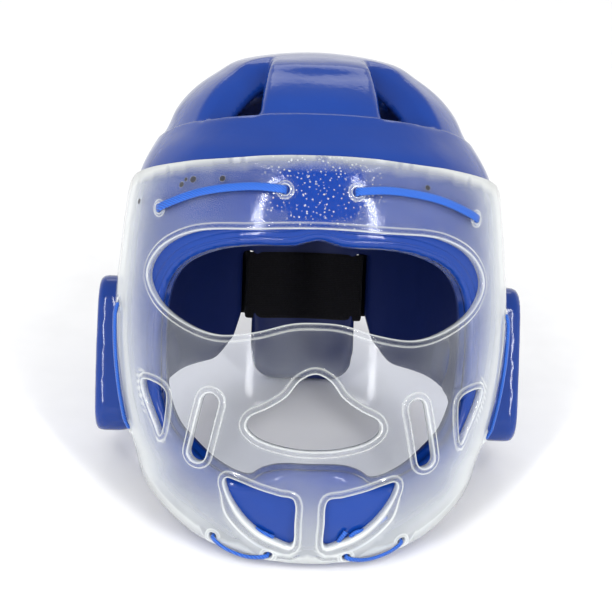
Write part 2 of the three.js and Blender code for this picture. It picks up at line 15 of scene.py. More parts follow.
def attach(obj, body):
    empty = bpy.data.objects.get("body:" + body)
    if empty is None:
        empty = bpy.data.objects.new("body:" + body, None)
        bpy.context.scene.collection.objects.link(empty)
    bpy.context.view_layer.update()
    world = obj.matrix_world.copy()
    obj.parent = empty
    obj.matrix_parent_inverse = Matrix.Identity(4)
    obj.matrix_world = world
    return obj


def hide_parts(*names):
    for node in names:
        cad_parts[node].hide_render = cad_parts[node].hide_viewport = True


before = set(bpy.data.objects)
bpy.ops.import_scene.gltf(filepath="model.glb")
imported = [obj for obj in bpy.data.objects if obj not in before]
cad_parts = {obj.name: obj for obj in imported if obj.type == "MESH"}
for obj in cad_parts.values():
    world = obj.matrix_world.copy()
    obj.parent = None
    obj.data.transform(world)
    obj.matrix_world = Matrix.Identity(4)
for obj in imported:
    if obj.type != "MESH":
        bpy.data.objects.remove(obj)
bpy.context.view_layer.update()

MM = 0.001

# A wave texture of scale 1 repeats after this distance, straight and along a diagonal.
STRAIGHT_WAVE = 2 * math.pi / 20
DIAGONAL_WAVE = STRAIGHT_WAVE * 2 / math.sqrt(3)

# Sizes of the guard, as in the part's source
HALF_WIDTH = 100.0
FRONT_REACH = 126.0
REAR_REACH = 112.0
GUARD_HEIGHT = 258.0
CHIN_LEVEL = -90.0
CROWN_LEVEL = CHIN_LEVEL + GUARD_HEIGHT
SIDE_WALL = 20.0
CROWN_WALL = 16.0
PLAN_POWER = 2.15
LOWEST_RING = -82.0
REST_TILT = math.radians(17.6)
REST_SHIFT = 1.2503
REST_DROP = 56.3819

# Levels below which the wall is measured level, and shares of the height where it thins to the crown
CHIN_WALL_LEVELS = (-66, -50)
CROWN_WALL_SHARES = (0.6, 0.9)

EAR_PAD = {"reach": 114.0, "length": 70.0, "height": 84.0, "corner": 16.0, "edge": 4.0, "y": 1.0,
           "dome": 0.0003}
EAR_PAD_LEAN = math.radians(8)
EAR_HOLE = 24.0
EAR_HOLE_FROM = 60.0
TONGUE_HALF = 31.0
TONGUE_BOTTOM = -28.0
TONGUE_CORNER = 16.0
TONGUE_FROM = 60.0
REAR_GAP = 6.5
REAR_GAP_TOP = 49.6

SHIELD_GAP = 0.35
SHIELD_SHEET = 2.5
SHIELD_REAR = -38.5
LIP_WIDTH = 3.4
LIP_HEIGHT = 1.1
BORDER_LIP_WIDTH = 4.4
LACE_HOLE = 4.7
LACE_RING = 8.6
# Width and thickness of the lace where it lies flat, where it is pulled tight under the chin, and loose
LACE = (4.0, 1.8)
CHIN_LACE = (2.9, 1.2)
LOOSE_LACE = (2.4, 1.4)
LACE_TUCK = 6.0
LACE_SIDES = 12

# How far a lace arches up as a share of its thickness, and the share of its length that it takes
LACE_ARCH = 0.45
LACE_RISE = 0.07

STRAP_WIDTH = 40.0
STRAP_THICKNESS = 2.0
STRAP_SOFT_EDGE = 1.6
STRAP_LEVEL = 29.0
STRAP_GAP = 0.5
STRAP_SLACK = 1.1
STRAP_ON_FLAP = (74, 66, 58, 50, 43)
STRAP_TURN_IN = ((3.6, 0.1), (1, -0.6), (0, -4))
STRAP_TURN_BACK = ((0, 4), (-0.8, 0.2), (-3.2, -0.2))
STRAP_ON_TONGUE = (27, 18, 9)
STRAP_STEP = 1.2
STITCH_LENGTH = 2.8
STITCH_PITCH = 3.6
STITCH_SIDES = 8
STITCH_ROWS = (STRAP_ON_FLAP[0] - 3.0, STRAP_ON_FLAP[0] - 7.0)

# Rings of a stitch: place as a share of its length, and radius
STITCH_RINGS = ((-0.5, 0.1), (-0.3, 0.4), (0.3, 0.4), (0.5, 0.1))

# The box that the foam's distance field fills
FIELD_BOX = ((-120.0, -132.0, -96.0), (120.0, 118.0, 174.0))

# Level rings of the foam's outside: level as a share of the height, half width, and the widest,
# front and rear places as shares of the half width and of the front and rear reaches.
SECTIONS = np.array([
    (0.000, 0.520, 0.30, 0.746, 0.500),
    (0.012, 0.580, 0.30, 0.778, 0.580),
    (0.031, 0.650, 0.30, 0.813, 0.660),
    (0.062, 0.735, 0.30, 0.865, 0.740),
    (0.105, 0.805, 0.30, 0.917, 0.800),
    (0.147, 0.850, 0.30, 0.952, 0.850),
    (0.190, 0.880, 0.30, 0.976, 0.885),
    (0.229, 0.915, 0.30, 0.992, 0.912),
    (0.271, 0.943, 0.30, 1.000, 0.938),
    (0.349, 0.980, 0.30, 0.997, 0.973),
    (0.426, 0.998, 0.30, 0.982, 0.995),
    (0.504, 0.997, 0.30, 0.960, 1.000),
    (0.581, 0.978, 0.30, 0.932, 0.998),
    (0.659, 0.958, 0.30, 0.905, 0.982),
    (0.717, 0.935, 0.30, 0.885, 0.955),
    (0.767, 0.897, 0.24, 0.853, 0.924),
    (0.802, 0.852, 0.17, 0.815, 0.893),
    (0.833, 0.804, 0.11, 0.740, 0.857),
    (0.876, 0.757, 0.03, 0.635, 0.786),
    (0.919, 0.664, -0.01, 0.545, 0.680),
    (0.953, 0.545, -0.02, 0.440, 0.560),
    (0.984, 0.390, -0.03, 0.305, 0.400),
    (0.996, 0.220, -0.03, 0.150, 0.250),
])
LEVELS = CHIN_LEVEL + GUARD_HEIGHT * SECTIONS[:, 0]
HALVES = HALF_WIDTH * SECTIONS[:, 1]
WIDESTS = -FRONT_REACH * SECTIONS[:, 2]
FRONT_ASPECTS = (FRONT_REACH * SECTIONS[:, 3] + WIDESTS) / HALVES
REAR_ASPECTS = (REAR_REACH * SECTIONS[:, 4] - WIDESTS) / HALVES

# One half of each outline seen from the front, as x and z, from the middle outwards and back.
FACE_EDGE = [(0, 71.4), (11, 68.8), (28, 68.3), (44, 66.2), (60, 59.5), (68, 50), (71, 38), (71.3, 10),
             (69.2, -8), (63, -20), (55.5, -25), (42, -33.6), (27, -37), (21.5, -33), (14, -30.3), (0, -30)]
EYE_EDGE = [(0, 82), (30, 80.6), (59, 77.6), (75, 68), (81, 55), (76, 43.5), (63, 34.5), (47, 30),
            (29, 32.4), (12, 37.2), (0, 38)]
MOUTH_EDGE = [(0, 13.7), (7, 10.5), (13, 2.8), (22, -3.6), (30, -8), (31.8, -12.5), (27, -17.8),
              (13, -22), (0, -23)]
SHIELD_LOWER_EDGE = [(120, -10), (99.5, -20), (95.5, -31), (90.5, -41), (82.5, -52), (71, -63),
                     (55.5, -74), (44.5, -78.5), (28, -82.5), (8, -84.5)]
SIDE_VENT_EDGE = [(82, 2.6), (74, 2.2), (70.4, -0.6), (69.8, -6), (72.4, -23.6), (74.6, -19)]
CHIN_VENT_EDGE = [(8.2, -47.6), (15, -46), (26, -43), (35, -39.8), (40, -38.8), (41, -41), (39.5, -47),
                  (35.5, -54.3), (30, -61.4), (22.6, -67.9), (15, -71.8), (8.2, -73.9), (7.2, -60)]
SLOT_TOP = (48.8, -2.5)
SLOT_BOTTOM = (54.3, -28.8)
SLOT_WIDTH = 8.6
FACE_MIDDLE = 18.0
CHIN_VENT_MIDDLE = (24.0, -54.0)
KNURL_FROM = 90.0
KNURL_REACH = 6.2

# How much the face opening flares, as places along y and shares of its size, and where it ends
FACE_FLARE = [(-146, 1.166), (-100, 1.1), (-58, 1.0)]
FACE_BACK = -25.0

# Distances of the sheet's rows of points from its openings, further ones from the chin vents, and from
# the border and the lace holes. Even points fill the sheet from GRID_MARGIN beyond them.
OPENING_ROWS = (0.35, 0.8, 1.4, 2.2, 2.8, 3.3, 3.8)
CHIN_VENT_ROWS = (4.6, 5.4, 6.1, 6.8, 7.5)
BORDER_ROWS = (0.35, 0.8, 1.6, 2.6, 3.4, 4.1, 4.8)
HOLE_ROWS = (0.3, 0.8, 1.3, 1.8, 2.3)
ROW_MARGIN = 0.2
GRID_MARGIN = 1.0

# The shield's top edge near the middle, as arc length and level, and then from the side, as y and z,
# from the brow back to its rear corner. Its rear edge is straight between two levels.
SHIELD_TOP_MIDDLE = [(0.0, 115.3), (14.0, 115.1), (27.0, 114.4)]
SHIELD_TOP_SIDE_FROM = 36.0
SHIELD_REAR_LEVELS = (78, -46)
SHIELD_TOP_EDGE = [(-108, 117.3), (-104, 115.6), (-89, 110.5), (-69, 105.2), (-55, 101.5), (-46, 97),
                   (-41, 92), (SHIELD_REAR, 84)]

# The foam's lower edge: y, then the level of the inner edge and of the outer edge.
FOAM_LOWER_EDGE = np.array([
    (-84, -92, -92), (-77, -84, -88), (-69, -66, -83), (-59, -40, -75), (-47, -24, -62), (-36, -17, -51),
    (-22, -14, -44), (0, -13, -41), (30, -12, -37), (55, -12, -30), (75, -12, -22), (95, -12, -15),
    (150, -12, -12)])
RIM_GROOVE = 1.3
RIM_GROOVE_DEPTH = 8.0
RIM_GROOVE_WIDTH = 2.4
ROUNDING_LOSS = 1.6
CHIN_ROUNDING = 12.0
WALL_ROUNDING = 7.0
PAD_BLEND = 5.0
GAP_ROUNDING = 3.0
EAR_HOLE_ROUNDING = 5.0
CROWN_HOLE_ROUNDING = 3.4
FLOOR_ROUNDING = 2.5
HOLE_LEAN = 0.55
CROWN_HOLE_DEPTH = 68.0
BAND_RISES = (-1.3, -0.6, 0.0, 0.35)
BAND_DROPS = (0.0, 0.3, 1.0, 1.1)
BAND_EDGE_PLACE = (-79.0, 137.0)
BAND_EDGE_SLOPE = -0.296
INNER_EDGE_X = 76.0
OUTER_EDGE_X = 102.0
FRONT_HOLE_EDGE = [(27, -22), (28.5, -50), (30.5, -70), (32, -76.5), (38, -76), (47, -73),
                   (60.5, -65), (54, -44)]
REAR_HOLE_EDGE = [(27, 16), (28, 36), (30, 52), (43, 51), (50, 43), (46, 28)]
REAR_GAP_EDGE = [(31, REAR_GAP_TOP), (37.5, REAR_GAP_TOP), (37.5, 12), (41.5, -1), (50.5, -12),
                 (61.5, -22), (61.5, -100), (31, -100)]

BROW_LACE_ROUTE = [(17, 99.7), (34, 100), (56, 96), (76.5, 87.2)]
SIDE_LACE_LEVELS = (36, 15, -8, -27)
SIDE_LACE_ANGLE = math.radians(74.5)
CHIN_LACE_ROUTE = [(46, -73), (39, -78.4), (29, -81.6), (19, -80.2)]

# The ends of the chin lace on the foam behind the chin vents, as x and z.
KNOT_ENDS = [[(15, -72), (16, -69.5), (18, -66)], [(20.5, -69), (23, -66.5), (27, -65.5)],
             [(27, -66.5), (32, -63), (38, -58.5)], [(-26, -66), (-21.5, -68.5), (-17, -70.5)]]

# Places of the small dark flecks in the brow of the shield, as x and z, with their radii.
FLECKS = [(-66, 99, 1.2), (-60.5, 101.8, 1.5), (-64, 101.5, 0.8), (-46.5, 103.2, 1.3), (-87, 89, 1.2),
          (51, 102, 1.2)]
FLECK_BLUR = 0.0005

# The wet patch on the brow: its middle, and its reach across, inwards and up
PATCH_MIDDLE = (0, -113, 99.5)
PATCH_REACH = (24.0, 60.0, 14.5)

# How solid the sheet looks by how steeply it is looked along, and the two ridges on the rim by the
# share of RIM_REACH from the opening: the two ends of each curve come first.
SHEET_BODY = [(0.0, 0.03), (1.0, 0.88), (0.16, 0.06), (0.34, 0.09), (0.5, 0.22), (0.64, 0.46), (0.8, 0.75)]
RIM_REACH = 10.0
RIM_RIDGES = [(0.0, 0.5), (1.0, 0.5), (0.18, 0.5), (0.27, 0.1), (0.36, 0.5), (0.54, 0.5), (0.63, 0.2),
              (0.72, 0.5)]


def head_to_row():
    """The matrix from upright millimetres to the resting guard in metres."""
    lean = Matrix.Rotation(-REST_TILT, 4, "X")
    return Matrix.Scale(MM, 4) @ Matrix.Translation((0, REST_SHIFT, REST_DROP)) @ lean


def to_row(points):
    """Points in upright millimetres, as an array, at rest in metres."""
    matrix = np.array(head_to_row())
    return np.asarray(points) @ matrix[:3, :3].T + matrix[:3, 3]


def mesh_piece(name, points, faces, material):
    """A smooth-shaded object from points in upright millimetres."""
    mesh = bpy.data.meshes.new(name)
    mesh.from_pydata(to_row(points).tolist(), [], [tuple(map(int, face)) for face in faces])
    mesh.polygons.foreach_set("use_smooth", [True] * len(mesh.polygons))
    mesh.materials.append(material)
    mesh.update()
    piece = bpy.data.objects.new(name, mesh)
    bpy.context.scene.collection.objects.link(piece)
    return piece


def set_values(piece, name, values):
    """A number for each point of a piece, which its material reads by name."""
    piece.data.attributes.new(name, "FLOAT", "POINT").data.foreach_set("value", values.astype("f"))


def smooth_table(x, xs, ys):
    """A smooth value at x through the table, going on straight beyond its ends."""
    slopes = np.gradient(ys, xs)
    i = np.clip(np.searchsorted(xs, x) - 1, 0, len(xs) - 2)
    width = xs[i + 1] - xs[i]
    t = (x - xs[i]) / width
    inside = ((1 + 2 * t) * (1 - t) ** 2 * ys[i] + t * (1 - t) ** 2 * width * slopes[i]
              + t ** 2 * (3 - 2 * t) * ys[i + 1] + t ** 2 * (t - 1) * width * slopes[i + 1])
    low = ys[0] + slopes[0] * (x - xs[0])
    high = ys[-1] + slopes[-1] * (x - xs[-1])
    return np.where(x < xs[0], low, np.where(x > xs[-1], high, inside))


def mirrored(half):
    return half + [(-u, v) for u, v in reversed(half) if u > 0]


def smooth_loop(points, per_point=6):
    """A closed centripetal curve through points."""
    points = np.array(points, float)
    count = len(points)
    samples = []
    for i in range(count):
        p0, p1, p2, p3 = (points[(i + k) % count] for k in (-1, 0, 1, 2))
        t1 = np.linalg.norm(p1 - p0) ** 0.5
        t2 = t1 + np.linalg.norm(p2 - p1) ** 0.5
        t3 = t2 + np.linalg.norm(p3 - p2) ** 0.5
        for t in np.linspace(t1, t2, per_point, endpoint=False):
            a1 = (t1 - t) / t1 * p0 + t / t1 * p1
            a2 = (t2 - t) / (t2 - t1) * p1 + (t - t1) / (t2 - t1) * p2
            a3 = (t3 - t) / (t3 - t2) * p2 + (t - t2) / (t3 - t2) * p3
            b1 = (t2 - t) / t2 * a1 + t / t2 * a2
            b2 = (t3 - t) / (t3 - t1) * a2 + (t - t1) / (t3 - t1) * a3
            samples.append((t2 - t) / (t2 - t1) * b1 + (t - t1) / (t2 - t1) * b2)
    return np.array(samples)


def loop_distance(loop, u, v):
    """The distance of points from a closed outline, negative inside it."""
    best = np.full(np.shape(u), 1e9)
    inside = np.zeros(np.shape(u), bool)
    for (u0, v0), (u1, v1) in zip(loop, np.roll(loop, -1, axis=0)):
        du, dv = u1 - u0, v1 - v0
        t = np.clip(((u - u0) * du + (v - v0) * dv) / (du * du + dv * dv + 1e-12), 0, 1)
        best = np.minimum(best, np.hypot(u - u0 - t * du, v - v0 - t * dv))
        if v0 != v1:
            inside ^= ((v0 > v) != (v1 > v)) & (u < du * (v - v0) / dv + u0)
    return np.where(inside, -best, best)


def distance_map(loop, reach=40.0, step=1.0):
    low = loop.min(axis=0) - reach
    size = np.ceil((loop.max(axis=0) + reach - low) / step).astype(int) + 1
    us = low[0] + step * np.arange(size[0])
    vs = low[1] + step * np.arange(size[1])
    table = loop_distance(loop, *np.meshgrid(us, vs, indexing="ij"))

    def look_up(u, v):
        fu = np.clip((u - low[0]) / step, 0, size[0] - 1.001)
        fv = np.clip((v - low[1]) / step, 0, size[1] - 1.001)
        i, j = fu.astype(int), fv.astype(int)
        a, b = fu - i, fv - j
        return ((1 - a) * (1 - b) * table[i, j] + a * (1 - b) * table[i + 1, j]
                + (1 - a) * b * table[i, j + 1] + a * b * table[i + 1, j + 1])
    return look_up


def smooth_max(a, b, radius):
    """The larger of two distances, rounded where they meet."""
    h = np.maximum(radius - np.abs(a - b), 0) / radius
    return np.maximum(a, b) + h * h * radius / 4


def smooth_min(a, b, radius):
    return -smooth_max(-a, -b, radius)


def smooth_step(x, low, high):
    t = np.clip((x - low) / (high - low), 0, 1)
    return t * t * (3 - 2 * t)


def ring_field(x, y, z):
    """Zero on the foam's outside, negative inside, with a known slope."""
    half2 = smooth_table(z, LEVELS, HALVES ** 2)
    widest = smooth_table(z, LEVELS, WIDESTS)
    levels = np.clip(z, LEVELS[0], LEVELS[-1])
    front = smooth_table(levels, LEVELS, FRONT_ASPECTS)
    rear = smooth_table(levels, LEVELS, REAR_ASPECTS)
    along = np.abs(y - widest) / np.where(y < widest, front, rear)
    reach = (np.abs(x) ** PLAN_POWER + along ** PLAN_POWER) ** (2 / PLAN_POWER)
    return reach - half2


def as_distance(field, pitch, axes=(0, 1, 2)):
    """A squared-reach field as a distance in millimetres."""
    slope = np.sqrt(sum(np.gradient(field, pitch, axis=axis) ** 2 for axis in axes))
    root = np.sqrt(np.maximum(slope ** 2 - 4 * field, (0.25 * slope) ** 2))
    return 2 * field / (slope + root + 1e-9)


def ear_pad_distance(x, y, z):
    """A slab with round corners and rolled edges that stands out of each side and leans back."""
    pad = EAR_PAD
    y, z = y - pad["y"], z
    local_y = y * math.cos(EAR_PAD_LEAN) - z * math.sin(EAR_PAD_LEAN)
    local_z = y * math.sin(EAR_PAD_LEAN) + z * math.cos(EAR_PAD_LEAN)
    across = np.abs(local_y) - (pad["length"] / 2 - pad["corner"])
    up = np.abs(local_z) - (pad["height"] / 2 - pad["corner"])
    corner = np.hypot(np.maximum(across, 0), np.maximum(up, 0))
    side = corner + np.minimum(np.maximum(across, up), 0) - pad["corner"]
    crown = pad["dome"] * (local_y ** 2 + local_z ** 2)
    face = np.abs(x) - (pad["reach"] - crown)
    rolled_side = side + pad["edge"]
    rolled_face = face + pad["edge"]
    outside = np.hypot(np.maximum(rolled_side, 0), np.maximum(rolled_face, 0))
    return outside + np.minimum(np.maximum(rolled_side, rolled_face), 0) - pad["edge"]


def face_scale(y):
    """How much the face opening has flared at a place along y."""
    return np.interp(y, *zip(*FACE_FLARE))


def face_distance(x, y, z):
    """The distance from the face opening's outline, seen from the front, negative inside it."""
    flare = face_scale(y)
    face_map = distance_map(smooth_loop(mirrored(FACE_EDGE)))
    return face_map(x / flare, FACE_MIDDLE + (z - FACE_MIDDLE) / flare) * flare


def foam_field(x, y, z, pitch):
    """The distance from the surface of the padded guard, negative in the foam."""
    outside = as_distance(ring_field(x, y, z), pitch)
    lowest_ring = np.maximum(z, LOWEST_RING)
    plan = as_distance(ring_field(x, y, lowest_ring), pitch, axes=(0, 1))

    shell = smooth_max(outside, CHIN_LEVEL + 0.5 - z, CHIN_ROUNDING)
    shell = smooth_min(shell, ear_pad_distance(x, y, z), PAD_BLEND)

    share = smooth_step((z - CHIN_LEVEL) / GUARD_HEIGHT, *CROWN_WALL_SHARES)
    wall = SIDE_WALL + (CROWN_WALL - SIDE_WALL) * share
    level_wall = 1 - smooth_step(z, *CHIN_WALL_LEVELS)
    room = (outside + wall) * (1 - level_wall) + (plan + SIDE_WALL) * level_wall
    foam = smooth_max(shell, -room, WALL_ROUNDING)

    # The face opening, whose rolled rim has a groove along it
    face = face_distance(x, y, z)
    groove = RIM_GROOVE * np.exp(-((outside + RIM_GROOVE_DEPTH) / RIM_GROOVE_WIDTH) ** 2)
    opening = np.maximum(face + ROUNDING_LOSS - groove, y - FACE_BACK)
    foam = smooth_max(foam, -opening, WALL_ROUNDING)

    # The lower edge, above which only the nape tongue reaches down
    low_y = FOAM_LOWER_EDGE[:, 0]
    inner = np.interp(y, low_y, FOAM_LOWER_EDGE[:, 1])
    outer = np.interp(y, low_y, FOAM_LOWER_EDGE[:, 2])
    share = smooth_step(np.abs(x), INNER_EDGE_X - 4, OUTER_EDGE_X + 4)
    below = inner + (outer - inner) * share - z
    slope = np.sqrt(sum(np.gradient(below, pitch, axis=axis) ** 2 for axis in range(3)))
    below = below / np.maximum(slope, 1)
    in_x = np.abs(x) - (TONGUE_HALF - TONGUE_CORNER)
    in_z = TONGUE_BOTTOM + TONGUE_CORNER - z
    tongue = np.hypot(np.maximum(in_x, 0), np.maximum(in_z, 0)) - TONGUE_CORNER
    tongue = np.maximum(tongue + np.minimum(np.maximum(in_x, in_z), 0), TONGUE_FROM - y)
    foam = smooth_max(foam, np.minimum(below - ROUNDING_LOSS, tongue), WALL_ROUNDING)

    # Gaps beside the tongue, ear holes and crown holes
    gap_map = distance_map(np.array(REAR_GAP_EDGE, float))
    gap = np.maximum(gap_map(np.abs(x), z), TONGUE_FROM - y)
    foam = smooth_max(foam, -gap, GAP_ROUNDING)
    ear = np.maximum(np.hypot(y - EAR_PAD["y"], z) - EAR_HOLE / 2, EAR_HOLE_FROM - np.abs(x))
    foam = smooth_max(foam, -ear, EAR_HOLE_ROUNDING)
    # The crown holes narrow inwards: their outer and rear walls slope to the strap and the brow.
    depth = np.clip(-outside, 0, CROWN_WALL)
    for edge, lean in ((FRONT_HOLE_EDGE, -HOLE_LEAN), (REAR_HOLE_EDGE, HOLE_LEAN)):
        hole_map = distance_map(smooth_loop(edge))
        straight = hole_map(np.abs(x), y)
        leaning = hole_map(np.abs(x) + HOLE_LEAN * depth, y - lean * depth)
        hole = np.maximum(np.maximum(straight, leaning), CROWN_LEVEL - CROWN_HOLE_DEPTH - z)
        hole = np.maximum(hole, band_edge_level(y) + 0.2 - z)
        foam = smooth_max(foam, -hole, CROWN_HOLE_ROUNDING)

    floor = y * math.sin(REST_TILT) - z * math.cos(REST_TILT) - REST_DROP
    return smooth_max(foam, floor, FLOOR_ROUNDING)


def rim_distance(points):
    """How far points at the brow and temples lie from the face opening's edge, up to RIM_REACH."""
    x, y, z = points.T
    lower = RIM_REACH * (1 - smooth_step(z, -10, 10))
    face = np.clip(face_distance(x, y, z) + lower, 0, RIM_REACH)
    return np.where(y < -40, face, RIM_REACH)


def surface_net(field, origin, pitch):
    """Points and quads of the zero surface of a field that is sampled on a grid."""
    inside = field < 0
    cells = tuple(n - 1 for n in field.shape)
    corners = [(i, j, k) for i in (0, 1) for j in (0, 1) for k in (0, 1)]

    def corner_block(grid, corner):
        return grid[tuple(slice(c, c + n) for c, n in zip(corner, cells))]
    count = sum(corner_block(inside, corner).astype(np.int8) for corner in corners)
    cell = np.argwhere((count > 0) & (count < 8))
    index = np.full(cells, -1)
    index[tuple(cell.T)] = np.arange(len(cell))
    total = np.zeros((len(cell), 3))
    crossings = np.zeros(len(cell))
    for start in corners:
        for axis in range(3):
            if start[axis]:
                continue
            end = tuple(1 if k == axis else c for k, c in enumerate(start))
            a = field[tuple((cell + start).T)]
            b = field[tuple((cell + end).T)]
            crosses = (a < 0) != (b < 0)
            t = np.where(crosses, a / np.where(crosses, a - b, 1), 0)
            place = np.array(start, float) + t[:, None] * np.eye(3)[axis]
            total += place * crosses[:, None]
            crossings += crosses
    points = origin + pitch * (cell + total / crossings[:, None])
    faces = []
    for axis in range(3):
        u, v = (axis + 1) % 3, (axis + 2) % 3
        a = np.moveaxis(inside, axis, 0)
        change = np.moveaxis(a[:-1] != a[1:], 0, axis)
        edge = np.argwhere(change)
        edge = edge[(edge[:, u] > 0) & (edge[:, v] > 0) & (edge[:, u] < cells[u]) & (edge[:, v] < cells[v])]
        step_u, step_v = np.eye(3, dtype=int)[u], np.eye(3, dtype=int)[v]
        ring = [edge, edge - step_u, edge - step_u - step_v, edge - step_v]
        quad = np.stack([index[tuple(r.T)] for r in ring], axis=1)
        out = inside[tuple(edge.T)]
        faces.append(np.where(out[:, None], quad, quad[:, ::-1]))
    return points, np.concatenate(faces)


def sampled(grid, points, origin, pitch):
    """Values of a grid between its samples."""
    at = np.clip((points - origin) / pitch, 0, np.array(grid.shape) - 1.001)
    i, j, k = at.astype(int).T
    a, b, c = (at - at.astype(int)).T
    value = 0
    for di, wi in ((0, 1 - a), (1, a)):
        for dj, wj in ((0, 1 - b), (1, b)):
            for dk, wk in ((0, 1 - c), (1, c)):
                value = value + wi * wj * wk * grid[i + di, j + dj, k + dk]
    return value


def band_edge_level(y):
    return BAND_EDGE_PLACE[1] + BAND_EDGE_SLOPE * (y - BAND_EDGE_PLACE[0])


def band_rise(points):
    """How far above the brow band's top edge points lie."""
    return points[:, 2] - band_edge_level(points[:, 1])


def step_down_crown(points, faces, outside, normals):
    """Cuts an edge along the top of the brow band and lowers the crown behind it."""
    work = bmesh.new()
    place = work.verts.layers.float.new("outside")
    normal_layer = work.verts.layers.float_vector.new("normal")
    verts = []
    for point, value, normal in zip(points.tolist(), outside.tolist(), normals.tolist()):
        vert = work.verts.new(point)
        vert[place] = value
        vert[normal_layer] = normal
        verts.append(vert)
    for face in faces.tolist():
        work.faces.new([verts[i] for i in face])
    slope = Vector((0, -BAND_EDGE_SLOPE, 1)).normalized()
    for rise in BAND_RISES:
        near = [f for f in work.faces if abs(band_rise(np.array([f.calc_center_median()]))[0]) < 8
                and f.calc_center_median().y < 45]
        items = near + list({e for f in near for e in f.edges}) + list({v for f in near for v in f.verts})
        level = Vector((0, BAND_EDGE_PLACE[0], BAND_EDGE_PLACE[1] + rise))
        bmesh.ops.bisect_plane(work, geom=items, plane_co=level, plane_no=slope, dist=0.02)
    result = np.array([tuple(v.co) for v in work.verts])
    value = np.array([v[place] for v in work.verts])
    normal = np.array([tuple(v[normal_layer]) for v in work.verts])
    rise = band_rise(result)
    profile = np.interp(rise, BAND_RISES, BAND_DROPS)
    fade = (1 - smooth_step(result[:, 1], -10, 40)) * smooth_step(value, -5.0, -1.0)
    result -= normal * (profile * fade)[:, None]
    work.verts.index_update()
    new_faces = [tuple(v.index for v in f.verts) for f in work.faces]
    work.free()
    return result, new_faces, value


def foam_mesh(pitch):
    """The guard's surface, with its points settled onto the zero of its field."""
    low, high = np.array(FIELD_BOX)
    size = np.ceil((high - low) / pitch).astype(int) + 1
    axes = [low[k] + pitch * np.arange(size[k]) for k in range(3)]
    x, y, z = np.meshgrid(*axes, indexing="ij")
    field = foam_field(x, y, z, pitch)
    points, faces = surface_net(field, low, pitch)
    slopes = np.gradient(field, pitch)
    for _ in range(2):
        normal = np.stack([sampled(slope, points, low, pitch) for slope in slopes], axis=1)
        size2 = np.maximum((normal ** 2).sum(axis=1), 0.3)
        off = sampled(field, points, low, pitch)
        points = points - np.clip(off / size2, -pitch, pitch)[:, None] * normal
    normal /= np.maximum(np.linalg.norm(normal, axis=1, keepdims=True), 1e-6)
    outside = sampled(as_distance(ring_field(x, y, z), pitch), points, low, pitch)
    return step_down_crown(points, faces, outside, normal)


def linear(hex_colour):
    """An sRGB hex colour as linear RGBA."""
    values = [int(hex_colour[i:i + 2], 16) / 255 for i in (1, 3, 5)]
    return [v / 12.92 if v <= 0.04045 else ((v + 0.055) / 1.055) ** 2.4 for v in values] + [1.0]


def add(tree, kind, settings=None, links=None, stops=(), curve=(), **attributes):
    """A shader node of a kind with its settings, socket values, links, colour stops and curve points.

    A link comes from a socket, or from the first output of a node.
    """
    node = tree.nodes.new("ShaderNode" + kind)
    for name, value in attributes.items():
        setattr(node, name, value)
    for name, value in (settings or {}).items():
        node.inputs[name].default_value = value
    for name, source in (links or {}).items():
        socket = source.outputs[0] if isinstance(source, bpy.types.Node) else source
        tree.links.new(socket, node.inputs[name])
    for k, (place, colour) in enumerate(stops):
        node.color_ramp.elements[k].position = place
        node.color_ramp.elements[k].color = linear(colour)
    for k, place in enumerate(curve):
        points = node.mapping.curves[0].points
        point = points[k] if k < 2 else points.new(*place)
        point.location = place
    if curve:
        node.mapping.update()
    return node


def new_material(name):
    """A material, its empty tree and the place on the piece that its patterns follow."""
    material = bpy.data.materials.new(name)
    material.use_nodes = True
    tree = material.node_tree
    tree.nodes.clear()
    return material, tree, add(tree, "TexCoord").outputs["Object"]


def dipped_foam():
    """Foam dipped in vinyl: a closed, wet-looking blue skin with a slight orange peel, less glossy inside,
    where its blue is also painted darker as shade.
    """
    material, tree, where = new_material("dipped vinyl foam")
    tone = add(tree, "TexNoise", {"Scale": 22.0, "Detail": 3.0}, {"Vector": where})
    blue = add(tree, "ValToRGB", links={"Fac": tone},
               stops=[(0.3, "#0a317e"), (0.7, "#0c3788")])
    # The inside faces are painted a darker blue as painted shade, and are given a rougher finish.
    inner = add(tree, "Attribute", attribute_name="inner").outputs["Fac"]
    colour = add(tree, "Mix", {"B": linear("#0b1f5a")}, {"Factor": inner, "A": blue},
                 data_type="RGBA")
    peel = add(tree, "TexNoise", {"Scale": 1 / 0.004, "Detail": 2.0}, {"Vector": where})
    sag = add(tree, "TexNoise", {"Scale": 1 / 0.035, "Detail": 1.0}, {"Vector": where})
    gloss = add(tree, "MapRange", {"To Min": 0.09, "To Max": 0.17}, {"Value": sag})
    rough = add(tree, "Mix", {"B": 0.55}, {"Factor": inner, "A": gloss})
    relief = add(tree, "Bump", {"Strength": 0.2, "Distance": 0.0005}, {"Height": peel})
    waves = add(tree, "Bump", {"Strength": 0.35, "Distance": 0.004},
                {"Height": sag, "Normal": relief})

    # Two moulded ridges run round the rolled rim of the face opening.
    rim = add(tree, "Attribute", attribute_name="rim").outputs["Fac"]
    across = add(tree, "Math", {1: RIM_REACH}, {0: rim}, operation="DIVIDE", use_clamp=True)
    ridges = add(tree, "FloatCurve", links={"Value": across}, curve=RIM_RIDGES)
    moulded = add(tree, "Bump", {"Strength": 0.8, "Distance": 0.0012},
                  {"Height": ridges, "Normal": waves})
    skin = add(tree, "BsdfPrincipled", {"IOR": 1.4},
               {"Base Color": colour.outputs["Result"], "Roughness": rough, "Normal": moulded})
    add(tree, "OutputMaterial", links={"Surface": skin})
    return material


